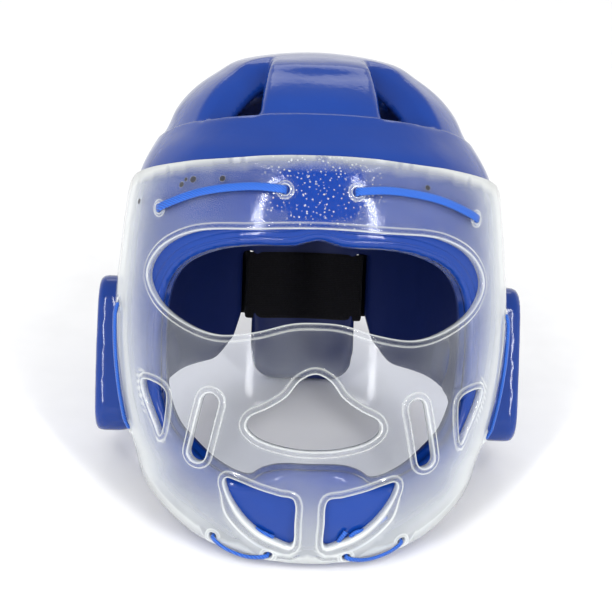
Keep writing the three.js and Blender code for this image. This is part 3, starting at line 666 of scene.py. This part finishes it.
def contact_patch(tree, where):
    """One where the brow of the sheet lies wet on the foam, and the ragged distance from its middle."""
    centre = tuple(to_row([PATCH_MIDDLE])[0])
    offset = add(tree, "VectorMath", {1: centre}, {0: where}, operation="SUBTRACT")
    shares = [1 / (reach * MM) for reach in PATCH_REACH]
    scaled = add(tree, "VectorMath", {1: shares}, {0: offset}, operation="MULTIPLY")
    away = add(tree, "VectorMath", links={0: scaled}, operation="LENGTH").outputs["Value"]
    rag = add(tree, "TexNoise", {"Scale": 1 / 0.007, "Detail": 4.0}, {"Vector": where})
    ragged = add(tree, "Math", links={0: away, 1: rag}, operation="ADD")
    inside = add(tree, "MapRange",
                 {"From Min": 1.4, "From Max": 1.55, "To Min": 1.0, "To Max": 0.0}, {"Value": ragged})
    return inside, ragged


def bubble_share(tree, where, ragged):
    """How white the small bubbles are that crowd in and round the contact patch."""
    cells = add(tree, "TexVoronoi", {"Scale": 1 / 0.0022}, {"Vector": where})
    dots = add(tree, "MapRange",
               {"From Min": 0.14, "From Max": 0.26, "To Min": 0.5, "To Max": 0.0}, {"Value": cells})
    scatter = add(tree, "TexNoise", {"Scale": 1 / 0.01}, {"Vector": where})
    crowd = add(tree, "MapRange", {"From Min": 0.34, "From Max": 0.5}, {"Value": scatter})
    near = add(tree, "MapRange",
               {"From Min": 1.6, "From Max": 1.9, "To Min": 1.0, "To Max": 0.0}, {"Value": ragged})
    crowded = add(tree, "Math", links={0: crowd, 1: near}, operation="MULTIPLY")
    return add(tree, "Math", links={0: dots, 1: crowded}, operation="MULTIPLY")


def dirt_share(tree, where):
    """One on each of the small dark flecks of dirt under the brow."""
    dirt = None
    for x, z, radius in FLECKS:
        place = tuple(to_row(front_point(arc_from_x(x, z), z, SHIELD_GAP + SHIELD_SHEET)))
        away = add(tree, "VectorMath", {1: place}, {0: where}, operation="DISTANCE")
        fleck = add(tree, "MapRange",
                    {"From Min": radius * MM, "From Max": radius * MM + FLECK_BLUR,
                     "To Min": 1.0, "To Max": 0.0},
                    {"Value": away.outputs["Value"]}, interpolation_type="SMOOTHSTEP")
        links = {0: fleck, 1: dirt} if dirt else {0: fleck}
        dirt = add(tree, "Math", {1: 0.0}, links, operation="MAXIMUM")
    return dirt


def moulded_sheet():
    """Clear moulded plastic: nearly clear where it is looked through, milky where looked along.

    The mix with clear thins the gloss too, so the sheet has a high IOR to bring it back.
    """
    material, tree, where = new_material("moulded clear polycarbonate")
    facing = add(tree, "LayerWeight", {"Blend": 0.5}).outputs["Facing"]
    body = add(tree, "FloatCurve", links={"Value": facing}, curve=SHEET_BODY)
    haze = add(tree, "TexNoise", {"Scale": 1 / 0.03, "Detail": 2.0}, {"Vector": where})
    drift = add(tree, "MapRange", {"To Min": -0.05, "To Max": 0.07}, {"Value": haze})
    hazed = add(tree, "Math", links={0: body, 1: drift}, operation="ADD")

    # The jaw of the sheet is painted the milkiest, a painted reflection of the pale floor below it.
    spot = add(tree, "SeparateXYZ", links={"Vector": where})
    low = add(tree, "MapRange",
              {"From Min": 0.02, "From Max": 0.065, "To Min": 0.24, "To Max": 0.0},
              {"Value": spot.outputs["Z"]}, interpolation_type="SMOOTHSTEP")
    across = add(tree, "Math", links={0: spot.outputs["X"]}, operation="ABSOLUTE")
    middle = add(tree, "MapRange",
                 {"From Min": 0.06, "From Max": 0.085, "To Min": 1.0, "To Max": 0.0}, {"Value": across})
    jaw_floor_reflection = add(tree, "Math", links={0: low, 1: middle}, operation="MULTIPLY")
    milk_and_floor_reflection = add(tree, "Math", links={0: hazed, 1: jaw_floor_reflection}, operation="ADD")

    # The wet patch on the brow shows the foam plainly.
    patch, ragged = contact_patch(tree, where)
    dry = add(tree, "Math", {0: 1.0}, {1: patch}, operation="SUBTRACT")
    plain = add(tree, "Math", links={0: milk_and_floor_reflection, 1: dry}, operation="MULTIPLY")

    # Painted highlights: the rolled lips are painted bright along two lines where they catch the light;
    # knurled grips whiten in slanted strokes.
    line = add(tree, "Attribute", attribute_name="painted_lip_highlight").outputs["Fac"]
    knurl = add(tree, "Attribute", attribute_name="knurl").outputs["Fac"]
    strokes = add(tree, "TexWave", {"Scale": DIAGONAL_WAVE / 0.0023, "Distortion": 0.5},
                  {"Vector": where}, wave_type="BANDS", bands_direction="DIAGONAL").outputs["Fac"]
    grip = add(tree, "Math", links={0: strokes, 1: knurl}, operation="MULTIPLY")
    lit = add(tree, "Math", {1: 0.3}, {0: grip, 2: line}, operation="MULTIPLY_ADD")
    bubbles = bubble_share(tree, where, ragged)
    bright = add(tree, "Math", links={0: lit, 1: bubbles}, operation="ADD")
    clean = add(tree, "Math", links={0: plain, 1: bright}, operation="ADD", use_clamp=True)

    dirt = dirt_share(tree, where)
    marked = add(tree, "Math", {1: 0.92}, {0: dirt}, operation="MULTIPLY")
    amount = add(tree, "Math", links={0: clean, 1: marked}, operation="MAXIMUM")
    colour = add(tree, "Mix", {"A": linear("#cfd3d2"), "B": linear("#0a0a10")},
                 {"Factor": dirt}, data_type="RGBA")
    waves = add(tree, "Bump", {"Strength": 0.15, "Distance": 0.001}, {"Height": haze})
    sheet = add(tree, "BsdfPrincipled", {"Roughness": 0.07, "IOR": 1.9},
                {"Base Color": colour.outputs["Result"], "Normal": waves})
    clear = add(tree, "BsdfTransparent", {"Color": linear("#fbfcff")})
    mix = add(tree, "MixShader", links={0: amount, 1: clear, 2: sheet})
    add(tree, "OutputMaterial", links={"Surface": mix})
    return material


def woven_lace():
    """Flat woven polyester lace: bright blue threads that cross at about a millimetre."""
    material, tree, where = new_material("woven polyester lace")
    weave = add(tree, "TexWave", {"Scale": DIAGONAL_WAVE / 0.001, "Distortion": 0.6},
                {"Vector": where}, wave_type="BANDS", bands_direction="DIAGONAL").outputs["Fac"]
    colour = add(tree, "ValToRGB", links={"Fac": weave},
                 stops=[(0.1, "#0a419f"), (0.9, "#1462c4")])
    relief = add(tree, "Bump", {"Strength": 0.6, "Distance": 0.0004}, {"Height": weave})
    cloth = add(tree, "BsdfPrincipled",
                {"Roughness": 0.6, "Sheen Weight": 0.12, "Sheen Roughness": 0.4},
                {"Base Color": colour, "Normal": relief})
    add(tree, "OutputMaterial", links={"Surface": cloth})
    return material


def woven_elastic():
    """Black woven elastic: fine cords along the strap a millimetre apart, with a dull fuzz."""
    material, tree, where = new_material("woven black elastic")
    place = add(tree, "Attribute", attribute_name="strap_place").outputs["Vector"]
    cords = add(tree, "TexWave", {"Scale": STRAIGHT_WAVE / 1.1, "Distortion": 0.2},
                {"Vector": place}, wave_type="BANDS", bands_direction="Y").outputs["Fac"]
    picks = add(tree, "TexWave", {"Scale": STRAIGHT_WAVE / 0.8, "Distortion": 0.2},
                {"Vector": place}, wave_type="BANDS", bands_direction="X").outputs["Fac"]
    fuzz = add(tree, "TexNoise", {"Scale": 1 / 0.0008, "Detail": 4.0}, {"Vector": where})
    colour = add(tree, "ValToRGB", links={"Fac": fuzz},
                 stops=[(0.3, "#0d0c0f"), (0.75, "#19181c")])
    weave = add(tree, "Math", links={0: cords, 1: picks}, operation="ADD")
    height = add(tree, "Math", links={0: weave, 1: fuzz}, operation="ADD")
    relief = add(tree, "Bump", {"Strength": 0.5, "Distance": 0.0004}, {"Height": height})
    cloth = add(tree, "BsdfPrincipled",
                {"Roughness": 0.92, "Specular IOR Level": 0.25, "Sheen Weight": 0.1,
                 "Sheen Roughness": 0.5},
                {"Base Color": colour, "Normal": relief})
    add(tree, "OutputMaterial", links={"Surface": cloth})
    return material


def pale_paper():
    """The pale, matt sweep that the guard lies on."""
    material, tree, where = new_material("matt white paper")
    grain = add(tree, "TexNoise", {"Scale": 40.0, "Detail": 2.0}, {"Vector": where})
    colour = add(tree, "ValToRGB", links={"Fac": grain},
                 stops=[(0.3, "#f7f7f7"), (0.7, "#fafafa")])
    paper = add(tree, "BsdfPrincipled", {"Roughness": 0.9}, {"Base Color": colour})
    add(tree, "OutputMaterial", links={"Surface": paper})
    return material


def ring_table():
    """The arc length from the front along a ring of half width 1, by angle."""
    angle = np.linspace(0, math.pi / 2, 400)
    aspect = FRONT_ASPECTS[10]
    x = np.sin(angle) ** (2 / PLAN_POWER)
    y = aspect * np.abs(np.cos(angle)) ** (2 / PLAN_POWER)
    arc = np.concatenate([[0], np.cumsum(np.hypot(np.diff(x), np.diff(y)))])
    return angle, arc


RING_ANGLES, RING_ARCS = ring_table()


def half_at(z):
    return np.sqrt(np.maximum(smooth_table(z, LEVELS, HALVES ** 2), 1))


def front_point(s, z, lift=0.0):
    """A point of the front at an arc length from the middle and a level, lifted off the foam."""
    def on_surface(s, z):
        half = half_at(z)
        angle = np.interp(np.abs(s) / half, RING_ARCS, RING_ANGLES)
        x = np.sign(s) * half * np.sin(angle) ** (2 / PLAN_POWER)
        aspect = smooth_table(z, LEVELS, FRONT_ASPECTS)
        widest = smooth_table(z, LEVELS, WIDESTS)
        y = widest - half * aspect * np.cos(angle) ** (2 / PLAN_POWER)
        return np.stack([x, y, z], axis=-1)
    s, z = np.asarray(s, float), np.asarray(z, float)
    step = 1.5
    along = on_surface(s + step, z) - on_surface(s - step, z)
    up = on_surface(s, z + step) - on_surface(s, z - step)
    normal = np.cross(along, up)
    normal /= np.linalg.norm(normal, axis=-1, keepdims=True)
    return on_surface(s, z) + normal * np.asarray(lift)[..., None]


def arc_from_x(x, z):
    """The arc length at a place seen from the front, as x and z."""
    half = half_at(np.asarray(z, float))
    share = np.clip(np.abs(x) / half, 0, 1)
    angle = np.arcsin(share ** (PLAN_POWER / 2))
    return np.sign(x) * half * np.interp(angle, RING_ANGLES, RING_ARCS)


def arc_from_y(y, z):
    """The arc length at a place seen from the side, as y and z."""
    z = np.asarray(z, float)
    half = half_at(z)
    reach = half * smooth_table(z, LEVELS, FRONT_ASPECTS)
    share = np.clip((smooth_table(z, LEVELS, WIDESTS) - y) / reach, 0, 1)
    angle = np.arccos(share ** (PLAN_POWER / 2))
    return half * np.interp(angle, RING_ANGLES, RING_ARCS)


def resampled(loop, spacing):
    """A closed loop again, with points at an even spacing."""
    closed = np.vstack([loop, loop[:1]])
    length = np.concatenate([[0], np.cumsum(np.linalg.norm(np.diff(closed, axis=0), axis=1))])
    count = max(int(round(length[-1] / spacing)), 8)
    at = np.linspace(0, length[-1], count, endpoint=False)
    return np.stack([np.interp(at, length, closed[:, k]) for k in (0, 1)], axis=1)


def on_shield(points, side=1):
    """An x, z outline as arc length and level."""
    points = np.array(points, float) * (side, 1)
    return np.stack([arc_from_x(points[:, 0], points[:, 1]), points[:, 1]], axis=1)


def slot_edge():
    """The outline of a slanted slot with round ends."""
    top, bottom = Vector(SLOT_TOP), Vector(SLOT_BOTTOM)
    lean = math.atan2(*(top - bottom).yx)
    points = []
    for centre, start in ((top, lean - math.pi / 2), (bottom, lean + math.pi / 2)):
        for k in range(9):
            turn = start + math.pi * k / 8
            points.append((centre.x + SLOT_WIDTH / 2 * math.cos(turn),
                           centre.y + SLOT_WIDTH / 2 * math.sin(turn)))
    return points


def shield_border():
    """The shield's outer edge as arc length and level, closed, with rounded corners."""
    top_y = np.array(SHIELD_TOP_EDGE, float)
    half_top = [(float(arc_from_y(y, z)), z) for y, z in top_y]
    half_top = SHIELD_TOP_MIDDLE + [p for p in half_top if p[0] > SHIELD_TOP_SIDE_FROM]
    side = [(float(arc_from_y(SHIELD_REAR, z)), float(z)) for z in np.arange(*SHIELD_REAR_LEVELS, -4)]
    lower = [(float(arc_from_x(x, z)), z) for x, z in SHIELD_LOWER_EDGE if z < SHIELD_REAR_LEVELS[1]]
    half = half_top + side + lower
    loop = resampled(np.array(mirrored(half)), 2.0)
    for _ in range(3):
        loop = (np.roll(loop, 1, axis=0) + 2 * loop + np.roll(loop, -1, axis=0)) / 4
    return loop


def lace_ends(side):
    """The two hole places of each lace on one side, as arc length and level."""
    routes = [lace_route(name, side) for name in ("brow", "side", "chin")]
    return [end for route in routes for end in (route[0], route[-1])]


def lace_route(name, side):
    """A lace's places between its two holes, as arc length and level."""
    if name == "side":
        route = [(half_at(z) * math.sin(SIDE_LACE_ANGLE) ** (2 / PLAN_POWER), z) for z in SIDE_LACE_LEVELS]
    else:
        route = {"brow": BROW_LACE_ROUTE, "chin": CHIN_LACE_ROUTE}[name]
    return on_shield([(float(x), z) for x, z in route], side)


def lip_profile(distance, width, height):
    """The height of a rolled lip at a distance from its edge."""
    rise = smooth_step(distance, -0.1, 0.9) * 0.55 + 0.45
    fall = 1 - smooth_step(distance, width - 1.3, width + 0.2)
    return height * rise * fall


def offset_loop(loop, distance):
    along = np.roll(loop, -1, axis=0) - np.roll(loop, 1, axis=0)
    along /= np.linalg.norm(along, axis=1, keepdims=True)
    area = np.sum(loop[:, 0] * np.roll(loop[:, 1], -1) - np.roll(loop[:, 0], -1) * loop[:, 1])
    return loop + math.copysign(distance, area) * np.stack([along[:, 1], -along[:, 0]], axis=1)


def painted_lip_highlight(distance, width):
    """How brightly a lip is painted, as a painted highlight where it catches light, at a distance from its
    edge: at its edge and at its foot.
    """
    edge = 0.65 * np.exp(-((distance - 0.3) / 0.42) ** 2)
    foot = 0.45 * np.exp(-((distance - width + 0.3) / 0.4) ** 2)
    return np.where(distance < width + 2, edge + foot, 0)


def chin_lip_spread(u, v):
    """How many times wider the chin vents' lips are below and outside the vents."""
    out, up = np.abs(u) - CHIN_VENT_MIDDLE[0], v - CHIN_VENT_MIDDLE[1]
    towards = (0.5 * out - 0.87 * up) / np.maximum(np.hypot(out, up), 1e-6)
    return 1 + 1.1 * smooth_step(towards, 0.1, 0.8)


def shield_mesh():
    """The clear sheet with a rolled lip round each opening and along its border."""
    border = shield_border()
    openings = [resampled(on_shield(smooth_loop(mirrored(EYE_EDGE))), 1.8),
                resampled(on_shield(smooth_loop(mirrored(MOUTH_EDGE))), 1.5)]
    for outline in (slot_edge(), smooth_loop(SIDE_VENT_EDGE), smooth_loop(CHIN_VENT_EDGE)):
        openings += [resampled(on_shield(outline, side), 1.2) for side in (-1, 1)]
    turn = np.linspace(0, 2 * math.pi, 16, endpoint=False)
    circle = np.stack([np.cos(turn), np.sin(turn)], axis=1)
    centres = [end for side in (-1, 1) for end in lace_ends(side)]
    holes = [centre + circle * LACE_HOLE / 2 for centre in centres]

    loops = [border] + openings + holes
    rings = []
    for loop in openings:
        rings += [offset_loop(loop, d) for d in OPENING_ROWS]
    for loop in openings[-2:]:
        rings += [offset_loop(loop, d) for d in CHIN_VENT_ROWS]
    rings += [offset_loop(border, -d) for d in BORDER_ROWS]
    for centre in centres:
        rings += [centre + circle * (LACE_HOLE / 2 + d) for d in HOLE_ROWS]
    spacing = 2.0
    columns, levels = np.arange(-160, 161, spacing), np.arange(-90, 121, spacing)
    grid = np.stack(np.meshgrid(columns, levels), -1).reshape(-1, 2)

    def distances(points):
        u, v = points[:, 0], points[:, 1]
        edge = -loop_distance(border, u, v)
        opening = np.min([loop_distance(loop, u, v) for loop in openings[:-2]], axis=0)
        chin = np.min([loop_distance(loop, u, v) for loop in openings[-2:]], axis=0)
        chin = np.where(chin > 0, chin / chin_lip_spread(u, v), chin)
        opening = np.minimum(opening, chin)
        hole = np.min([np.hypot(u - c[0], v - c[1]) for c in centres], axis=0) - LACE_HOLE / 2
        return edge, opening, hole

    def clear_of_edges(points, margins):
        """The points that lie further than the margins from the border, the openings and the holes."""
        clear = [distance > margin for distance, margin in zip(distances(points), margins)]
        return points[np.all(clear, axis=0)]
    extra = clear_of_edges(np.vstack(rings), [ROW_MARGIN] * 3)
    grid = clear_of_edges(grid, [rows[-1] + GRID_MARGIN for rows in (BORDER_ROWS, OPENING_ROWS, HOLE_ROWS)])

    verts = [Vector(p) for p in np.vstack(loops + [extra, grid])]
    edges, start = [], 0
    for loop in loops:
        count = len(loop)
        edges += [(start + i, start + (i + 1) % count) for i in range(count)]
        start += count
    flat, _, faces, *_ = delaunay_2d_cdt(verts, edges, [], 0, 0.02)
    flat = np.array([tuple(p) for p in flat])
    faces = np.array([face for face in faces if len(face) == 3])
    edge, opening, hole = distances(flat[faces].mean(axis=1))
    faces = faces[(edge > 0) & (opening > 0) & (hole > 0)]

    edge, opening, hole = distances(flat)
    lip = np.maximum.reduce([
        lip_profile(opening, LIP_WIDTH, LIP_HEIGHT),
        lip_profile(edge, BORDER_LIP_WIDTH, 0.8 * LIP_HEIGHT),
        lip_profile(hole, (LACE_RING - LACE_HOLE) / 2, 0.7 * LIP_HEIGHT)])
    outer = front_point(flat[:, 0], flat[:, 1], SHIELD_GAP + SHIELD_SHEET + lip)
    inner = front_point(flat[:, 0], flat[:, 1], np.full(len(flat), SHIELD_GAP))

    # Walls join the two faces along every edge that has one face only.
    count = len(flat)
    directed = {}
    for a, b, c in faces.tolist():
        for pair in ((a, b), (b, c), (c, a)):
            directed[pair] = True
    walls = [(b, a, a + count, b + count) for a, b in directed if (b, a) not in directed]
    used = np.unique(faces)
    new_index = np.full(2 * count, -1)
    new_index[used] = np.arange(len(used))
    new_index[used + count] = np.arange(len(used)) + len(used)
    points = np.vstack([outer[used], inner[used]])
    all_faces = ([tuple(new_index[list(f)]) for f in faces.tolist()]
                 + [tuple(new_index[[f[2] + count, f[1] + count, f[0] + count]]) for f in faces.tolist()]
                 + [tuple(new_index[list(w)]) for w in walls])
    line = np.maximum.reduce([painted_lip_highlight(opening, LIP_WIDTH), painted_lip_highlight(edge, BORDER_LIP_WIDTH),
                              painted_lip_highlight(hole, (LACE_RING - LACE_HOLE) / 2)])
    side_vents = np.min([loop_distance(loop, flat[:, 0], flat[:, 1]) for loop in openings[4:6]], axis=0)
    outward = smooth_step(np.abs(flat[:, 0]), KNURL_FROM, KNURL_FROM + 2)
    near_vents = 1 - smooth_step(side_vents, KNURL_REACH, KNURL_REACH + 0.6)
    knurl = outward * smooth_step(side_vents, 0.4, 1.0) * near_vents
    bare = np.zeros(len(used))
    return points, all_faces, np.concatenate([line[used], bare]), np.concatenate([knurl[used], bare])


def tube_faces(count, ring, first=0):
    """Quads that join rings of points along a cord."""
    return [(first + i * ring + k, first + i * ring + (k + 1) % ring,
             first + (i + 1) * ring + (k + 1) % ring, first + (i + 1) * ring + k)
            for i in range(count - 1) for k in range(ring)]


def end_caps(count, ring):
    return [tuple(range(ring))[::-1], tuple((count - 1) * ring + k for k in range(ring))]


def lace_mesh(route, over_shield, width, thickness, steps=26):
    """A flat cord along a route, with a slightly domed section, tucked in at its ends."""
    at = np.linspace(0, 1, steps)
    knots = np.linspace(0, 1, len(route))
    s = smooth_table(at, knots, route[:, 0])
    z = smooth_table(at, knots, route[:, 1])
    base = SHIELD_GAP + SHIELD_SHEET if over_shield else 0.3
    ends = smooth_step(np.minimum(at, 1 - at), 0.0, LACE_RISE)
    lift = base + thickness / 2 + 0.3 * ends + (LACE_ARCH * thickness * ends if over_shield else 0)
    line = front_point(s, z, lift)
    normal = front_point(s, z, lift + 1) - line
    if over_shield:
        line = np.vstack([line[0] - normal[0] * LACE_TUCK, line[0] - normal[0] * 1.2, line,
                          line[-1] - normal[-1] * 1.2, line[-1] - normal[-1] * LACE_TUCK])
        normal = np.vstack([normal[:1], normal[:1], normal, normal[-1:], normal[-1:]])
    along = np.gradient(line, axis=0)
    along /= np.linalg.norm(along, axis=1, keepdims=True)
    side = np.cross(normal, along)
    length = np.linalg.norm(side, axis=1, keepdims=True)
    side = np.where(length > 0.4, side / np.maximum(length, 1e-6), 0)
    for i in range(len(side)):
        if not side[i].any():
            side[i] = side[i - 1] if i > len(side) / 2 else next(v for v in side[i:] if v.any())
    up = np.cross(along, side)
    rows = []
    for k in range(LACE_SIDES):
        turn = 2 * math.pi * k / LACE_SIDES
        across = math.copysign(abs(math.cos(turn)) ** 0.6, math.cos(turn)) * width / 2
        rise = math.copysign(abs(math.sin(turn)) ** 0.8, math.sin(turn)) * thickness / 2
        rows.append(line + side * across + up * rise)
    points = np.stack(rows, axis=1).reshape(-1, 3)
    return points, tube_faces(len(line), LACE_SIDES) + end_caps(len(line), LACE_SIDES)


def build_foam():
    pitch = 2.1
    points, faces, outside = foam_mesh(pitch)
    piece = mesh_piece("foam_guard", points, faces, dipped_foam())
    set_values(piece, "rim", rim_distance(points))
    # Painted shade: the inside is marked so that its material paints it darker, and rougher.
    set_values(piece, "inner", smooth_step(-outside, SIDE_WALL - 9, SIDE_WALL - 4))
    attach(piece, "root")
    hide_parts("foam_shell")


def build_shield():
    points, faces, line, knurl = shield_mesh()
    piece = mesh_piece("clear_shield", points, faces, moulded_sheet())
    set_values(piece, "painted_lip_highlight", line)
    set_values(piece, "knurl", knurl)
    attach(piece, "root")
    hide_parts("face_shield")


def build_laces():
    material = woven_lace()
    for side, word in ((-1, "left"), (1, "right")):
        for name in ("brow", "side", "chin"):
            size = CHIN_LACE if name == "chin" else LACE
            points, faces = lace_mesh(lace_route(name, side), True, *size)
            piece = mesh_piece(f"{name}_lace_{word}", points, faces, material)
            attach(piece, "root")
            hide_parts(f"lace_{name}_{word}")
    points, faces = [], []
    for route in KNOT_ENDS:
        end_points, end_faces = lace_mesh(on_shield(route), False, *LOOSE_LACE, steps=14)
        faces += [tuple(k + len(points) for k in face) for face in end_faces]
        points += end_points.tolist()
    piece = mesh_piece("knot_ends", points, faces, material)
    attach(piece, "root")
    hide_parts("lace_knot")


def rear_point(x, z, lift=0.0):
    """A point of the back at a place across and a level, lifted off the foam's outside."""
    def on_surface(x, z):
        half = half_at(z)
        reach = half * smooth_table(z, LEVELS, REAR_ASPECTS)
        share = np.clip(np.abs(x) / half, 0, 1) ** PLAN_POWER
        y = smooth_table(z, LEVELS, WIDESTS) + reach * (1 - share) ** (1 / PLAN_POWER)
        return np.array([x, y, z], float)
    along = on_surface(x - 1, z) - on_surface(x + 1, z)
    up = on_surface(x, z + 1) - on_surface(x, z - 1)
    normal = np.cross(along, up)
    normal /= np.linalg.norm(normal)
    return on_surface(x, z) + normal * lift


def strap_line(z):
    """The strap's middle line at one level: along a flap, in through the gap and behind the tongue."""
    gap_middle = TONGUE_HALF + REAR_GAP / 2
    on_flap = STRAP_GAP + STRAP_THICKNESS / 2
    on_tongue = -SIDE_WALL - STRAP_SLACK - STRAP_THICKNESS / 2
    half = [rear_point(x, z, on_flap)[:2] for x in STRAP_ON_FLAP]
    for steps, lift in ((STRAP_TURN_IN, on_flap), (STRAP_TURN_BACK, on_tongue)):
        level_y = rear_point(gap_middle, z, lift)[1]
        half += [np.array([gap_middle + dx, level_y + dy]) for dx, dy in steps]
    half += [rear_point(x, z, on_tongue)[:2] for x in STRAP_ON_TONGUE]
    middle = rear_point(0.0, z, on_tongue)[:2]
    return np.array(half + [middle] + [p * (-1, 1) for p in reversed(half)])


def smooth_line(points, spacing):
    """An open curve through points, with samples at an even spacing."""
    steps = np.linalg.norm(np.diff(points, axis=0), axis=1) ** 0.5
    knots = np.concatenate([[0], np.cumsum(steps)])
    fine = np.linspace(0, knots[-1], 900)
    curve_points = np.stack([smooth_table(fine, knots, points[:, k]) for k in (0, 1)], axis=1)
    length = np.concatenate([[0], np.cumsum(np.linalg.norm(np.diff(curve_points, axis=0), axis=1))])
    at = np.linspace(0, length[-1], int(length[-1] / spacing))
    return np.stack([np.interp(at, length, curve_points[:, k]) for k in (0, 1)], axis=1), at


def strap_section():
    """The section across the strap: height from its middle and thickness, with thin soft edges."""
    half_height = STRAP_WIDTH / 2
    heights = half_height * np.sin(np.linspace(-math.pi / 2, math.pi / 2, 25))
    edge = np.clip((half_height - np.abs(heights)) / STRAP_SOFT_EDGE, 0, 1)
    bead = 0.12 * np.exp(-((half_height - np.abs(heights) - 2.4) / 0.9) ** 2)
    thick = STRAP_THICKNESS / 2 * (0.35 + 0.65 * np.sqrt(edge * (2 - edge))) + bead
    front = np.stack([heights, thick], axis=1)
    back = np.stack([heights[::-1], -thick[::-1]], axis=1)
    return np.vstack([front, back])


def strap_mesh():
    """The elastic strap as one ribbon, with its place in millimetres along and across it."""
    section = strap_section()
    line, at = smooth_line(strap_line(STRAP_LEVEL), STRAP_STEP)
    count, ring = len(line), len(section)
    rows, lines = [], []
    levels = np.linspace(-STRAP_WIDTH / 2, STRAP_WIDTH / 2, 5)
    for level in levels:
        samples, _ = smooth_line(strap_line(STRAP_LEVEL + level), STRAP_STEP)
        lines.append(samples[np.linspace(0, len(samples) - 1, count).round().astype(int)])
    lines = np.array(lines)
    for height, thick in section:
        base = np.array([[np.interp(height, levels, lines[:, i, k]) for k in (0, 1)]
                         for i in range(count)])
        along = np.gradient(base, axis=0)
        along /= np.linalg.norm(along, axis=1, keepdims=True)
        side = np.stack([-along[:, 1], along[:, 0]], axis=1)
        rows.append(np.column_stack([base + side * thick, np.full(count, STRAP_LEVEL + height)]))
    points = np.stack(rows, axis=1).reshape(-1, 3)
    places = np.stack(np.broadcast_arrays(at[:, None], section[None, :, 0], 0.0), axis=-1).reshape(-1, 3)
    return points, tube_faces(count, ring) + end_caps(count, ring), places


def stitch_mesh():
    """Two rows of thread stitches across the strap near each of its ends."""
    points, faces = [], []
    lift = STRAP_GAP + STRAP_THICKNESS
    levels = np.arange(-STRAP_WIDTH / 2 + 3, STRAP_WIDTH / 2 - 2, STITCH_PITCH)
    turn = np.linspace(0, 2 * math.pi, STITCH_SIDES, endpoint=False)
    for x in STITCH_ROWS:
        for side in (-1, 1):
            for level in levels:
                faces += tube_faces(len(STITCH_RINGS), STITCH_SIDES, len(points))
                for share, radius in STITCH_RINGS:
                    z = STRAP_LEVEL + level + share * STITCH_LENGTH
                    centre = rear_point(side * x, z, lift)
                    normal = rear_point(side * x, z, lift + 1) - centre
                    across = np.cross(normal, (0, 0, 1))
                    points += [centre + radius * (math.cos(t) * across + math.sin(t) * normal) for t in turn]
    return points, faces


def build_strap():
    points, faces, places = strap_mesh()
    stitch_points, stitch_faces = stitch_mesh()
    faces += [tuple(k + len(points) for k in face) for face in stitch_faces]
    places = np.vstack([places, np.zeros((len(stitch_points), 3))])
    points = points.tolist() + [tuple(p) for p in stitch_points]
    piece = mesh_piece("elastic_strap", points, faces, woven_elastic())
    layer = piece.data.attributes.new("strap_place", "FLOAT_VECTOR", "POINT")
    layer.data.foreach_set("vector", places.astype("f").ravel())
    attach(piece, "root")
    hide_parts("rear_strap")


def build_floor():
    mesh = bpy.data.meshes.new("floor")
    reach = 3.0
    mesh.from_pydata([(-reach, -reach, 0), (reach, -reach, 0), (reach, reach, 0), (-reach, reach, 0)],
                     [], [(0, 1, 2, 3)])
    mesh.materials.append(pale_paper())
    floor = bpy.data.objects.new("floor", mesh)
    bpy.context.scene.collection.objects.link(floor)


def build_camera():
    """The photograph's view, from 0.9 m in front and a little above, in the guard's own frame."""
    distance, elevation, yaw, roll = 900.0, math.radians(8.0), math.radians(2.1), math.radians(2.1)
    focal_px, middle_px, image_px, aim_level = 1629.0, 308.5, 612.0, 29.0
    ahead = Vector((math.sin(yaw) * math.cos(elevation), math.cos(yaw) * math.cos(elevation),
                    -math.sin(elevation)))
    place = Vector((0, 0, aim_level)) - ahead * distance
    right = Vector((math.cos(yaw), -math.sin(yaw), 0))
    up = right.cross(ahead)
    rolled_right = right * math.cos(roll) + up * math.sin(roll)
    rolled_up = up * math.cos(roll) - right * math.sin(roll)
    turn = head_to_row().to_3x3().normalized()
    rotation = turn @ Matrix((rolled_right, rolled_up, -ahead)).transposed()
    data = bpy.data.cameras.new("camera")
    data.sensor_width = 36.0
    data.lens = 36.0 * focal_px / image_px
    data.shift_x = (image_px / 2 - middle_px) / image_px
    data.clip_end = 20.0
    camera = bpy.data.objects.new("camera", data)
    camera.matrix_world = Matrix.Translation(head_to_row() @ place) @ rotation.to_4x4()
    bpy.context.scene.collection.objects.link(camera)
    bpy.context.scene.camera = camera


def add_light(name, place, target, size, power, colour="#ffffff"):
    """A soft rectangular light, in metres, that faces a target."""
    data = bpy.data.lights.new(name, "AREA")
    data.shape = "RECTANGLE"
    data.size, data.size_y = size
    data.energy = power
    data.color = linear(colour)[:3]
    light = bpy.data.objects.new(name, data)
    light.location = place
    light.rotation_euler = (Vector(target) - Vector(place)).to_track_quat("-Z", "Y").to_euler()
    bpy.context.scene.collection.objects.link(light)


def build_lights():
    """A white tent with a darker roof, a soft top light, and two tall windows beside the camera."""
    add_light("top_light", (0, 1.5, 1.4), (0, 0, 0.15), (1.3, 0.6), 4)
    for side in (-1, 1):
        add_light(f"window_{side + 2}", (side * 0.6, -1.18, 0.92), (0, 0, 0.13), (0.1, 1.25), 13)
    world = bpy.data.worlds.new("studio")
    world.use_nodes = True
    tree = world.node_tree
    background = tree.nodes["Background"]
    background.inputs["Color"].default_value = linear("#ffffff")
    direction = add(tree, "TexCoord").outputs["Generated"]
    up = add(tree, "SeparateXYZ", links={"Vector": direction}).outputs["Z"]
    fade = add(tree, "MapRange",
               {"From Min": 0.3, "From Max": 0.75, "To Min": 1.1, "To Max": 0.68}, {"Value": up},
               interpolation_type="SMOOTHSTEP")
    tree.links.new(fade.outputs["Result"], background.inputs["Strength"])
    bpy.context.scene.world = world
    bpy.context.scene.view_settings.view_transform = "Standard"


build_camera()
build_lights()
build_floor()
build_foam()
build_shield()
build_laces()
build_strap()
